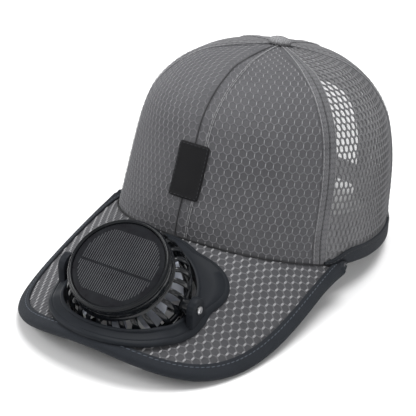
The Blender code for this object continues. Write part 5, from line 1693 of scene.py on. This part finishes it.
softEdge = {"width": 0.12 * mm, "segments": 2, "angle": math.radians(40.0)}


def dressCadNodes():
    # Kept solids take a finer finish in their own material slots.
    finishes = {
        # the rotor takes the pale blade finish, whose brightness is partly a painted highlight
        "fan_guard": "housing", "clamp_ring": "plate", "fan_motor": "can", "fan_rotor": "blade",
        "pivot_screw_left": "steel", "pivot_screw_right": "steel",
    }
    for name, finish in finishes.items():
        node = frame["nodes"][name]
        for place in node.material_slots:
            place.material = materials[finish]
        soften = node.modifiers.new("soft_edges", "BEVEL")
        soften.width = softEdge["width"]
        soften.segments = softEdge["segments"]
        soften.limit_method = "ANGLE"
        soften.angle_limit = softEdge["angle"]


# Floor, lights and camera

floorLook = {"half": 4.0, "lines": 9, "dark": (0.83, 0.83, 0.835), "colour": (0.86, 0.86, 0.86)}


def makeStage():
    line = np.linspace(-floorLook["half"], floorLook["half"], floorLook["lines"])
    x, y = np.meshgrid(line, line)
    points = vectors(x, y, np.zeros_like(x))
    mesh = bpy.data.meshes.new("floor")
    faces = gridFaces(len(line), len(line))
    mesh.from_pydata(points.reshape(-1, 3).tolist(), [], faces.tolist())
    floor = newObject("floor", mesh)
    material, tree, shader = newMaterial("floor_paper")
    where = tree.nodes.new("ShaderNodeTexCoord").outputs["Object"]
    grain = placeEffect(tree, "grain", Position=where, Size=1.5, Patch=300.0)
    colour = mixColour(tree, grain.outputs["Patches"], floorLook["dark"], floorLook["colour"])
    tree.links.new(colour, shader.inputs["Base Color"])
    shader.inputs["Roughness"].default_value = 0.9
    mesh.materials.append(material)


lightTable = [
    # name, place, size in metres, watts
    ("key", (-1.6, -1.3, 1.5), 1.1, 32.0),
    ("top", (0.1, 0.3, 1.9), 1.2, 38.0),
    ("side", (1.6, -0.5, 0.8), 1.0, 3.5),
    ("front", (0.5, -1.9, 0.5), 0.9, 3.0),
]


worldStrength = 0.56
lightAim = Vector((0.0, 0.0, 0.05))


def makeLights():
    world = bpy.data.worlds.new("studio")
    world.use_nodes = True
    world.node_tree.nodes["Background"].inputs["Color"].default_value = (1.0, 1.0, 1.0, 1.0)
    world.node_tree.nodes["Background"].inputs["Strength"].default_value = worldStrength
    bpy.context.scene.world = world
    for name, place, size, watts in lightTable:
        data = bpy.data.lights.new(name, "AREA")
        data.size = size
        data.energy = watts
        light = newObject(name, data)
        light.location = place
        light.rotation_mode = "QUATERNION"
        light.rotation_quaternion = (lightAim - Vector(place)).to_track_quat("-Z", "Y")


cameraLook = {"azimuth": 25.034, "elevation": 16.671, "away": 880.639 * mm, "roll": 9.128, "focal": 1468.25,
              "middle": (245.027, 151.061), "size": 416.0, "target": (0.0, -30.0 * mm, 50.0 * mm)}


def makeCamera():
    # The photo's viewpoint, found in the cap's own frame, aimed at the picture's middle.
    az, el = math.radians(cameraLook["azimuth"]), math.radians(cameraLook["elevation"])
    back = Vector((math.sin(az) * math.cos(el), -math.cos(az) * math.cos(el), math.sin(el)))
    right = Vector((math.cos(az), math.sin(az), 0.0))
    up = back.cross(right)
    roll = math.radians(cameraLook["roll"])
    r = right * math.cos(roll) + up * math.sin(roll)
    u = up * math.cos(roll) - right * math.sin(roll)
    half, f = cameraLook["size"] / 2.0, cameraLook["focal"]
    u0, v0 = cameraLook["middle"]
    aim = (r * ((half - u0) / f) - u * ((half - v0) / f) - back).normalized()
    z = -aim
    x = (r - z * r.dot(z)).normalized()
    y = z.cross(x)
    place = Vector(cameraLook["target"]) + back * cameraLook["away"]
    turn = Matrix((x, y, z)).transposed().to_4x4()
    turn.translation = place
    data = bpy.data.cameras.new("camera")
    data.sensor_width = 36.0
    data.lens = 36.0 * f / cameraLook["size"]
    data.clip_start, data.clip_end = 0.05, 20.0
    camera = newObject("camera", data)
    camera.matrix_world = capMatrix @ turn
    bpy.context.scene.camera = camera


makeCamera()
makeStage()
makeLights()
makeCrown()
makeButton()
makePatch()
makeBaseBinding("base_binding_left", 1.0)
makeBaseBinding("base_binding_right", -1.0)
makeRearBinding()
makeBands()
makeVisor()
makeVisorBinding()
makeCrease()
makePlate()
makeCage()
makeSolarTop()
dressCadNodes()
bpy.context.scene.view_settings.view_transform = "Standard"
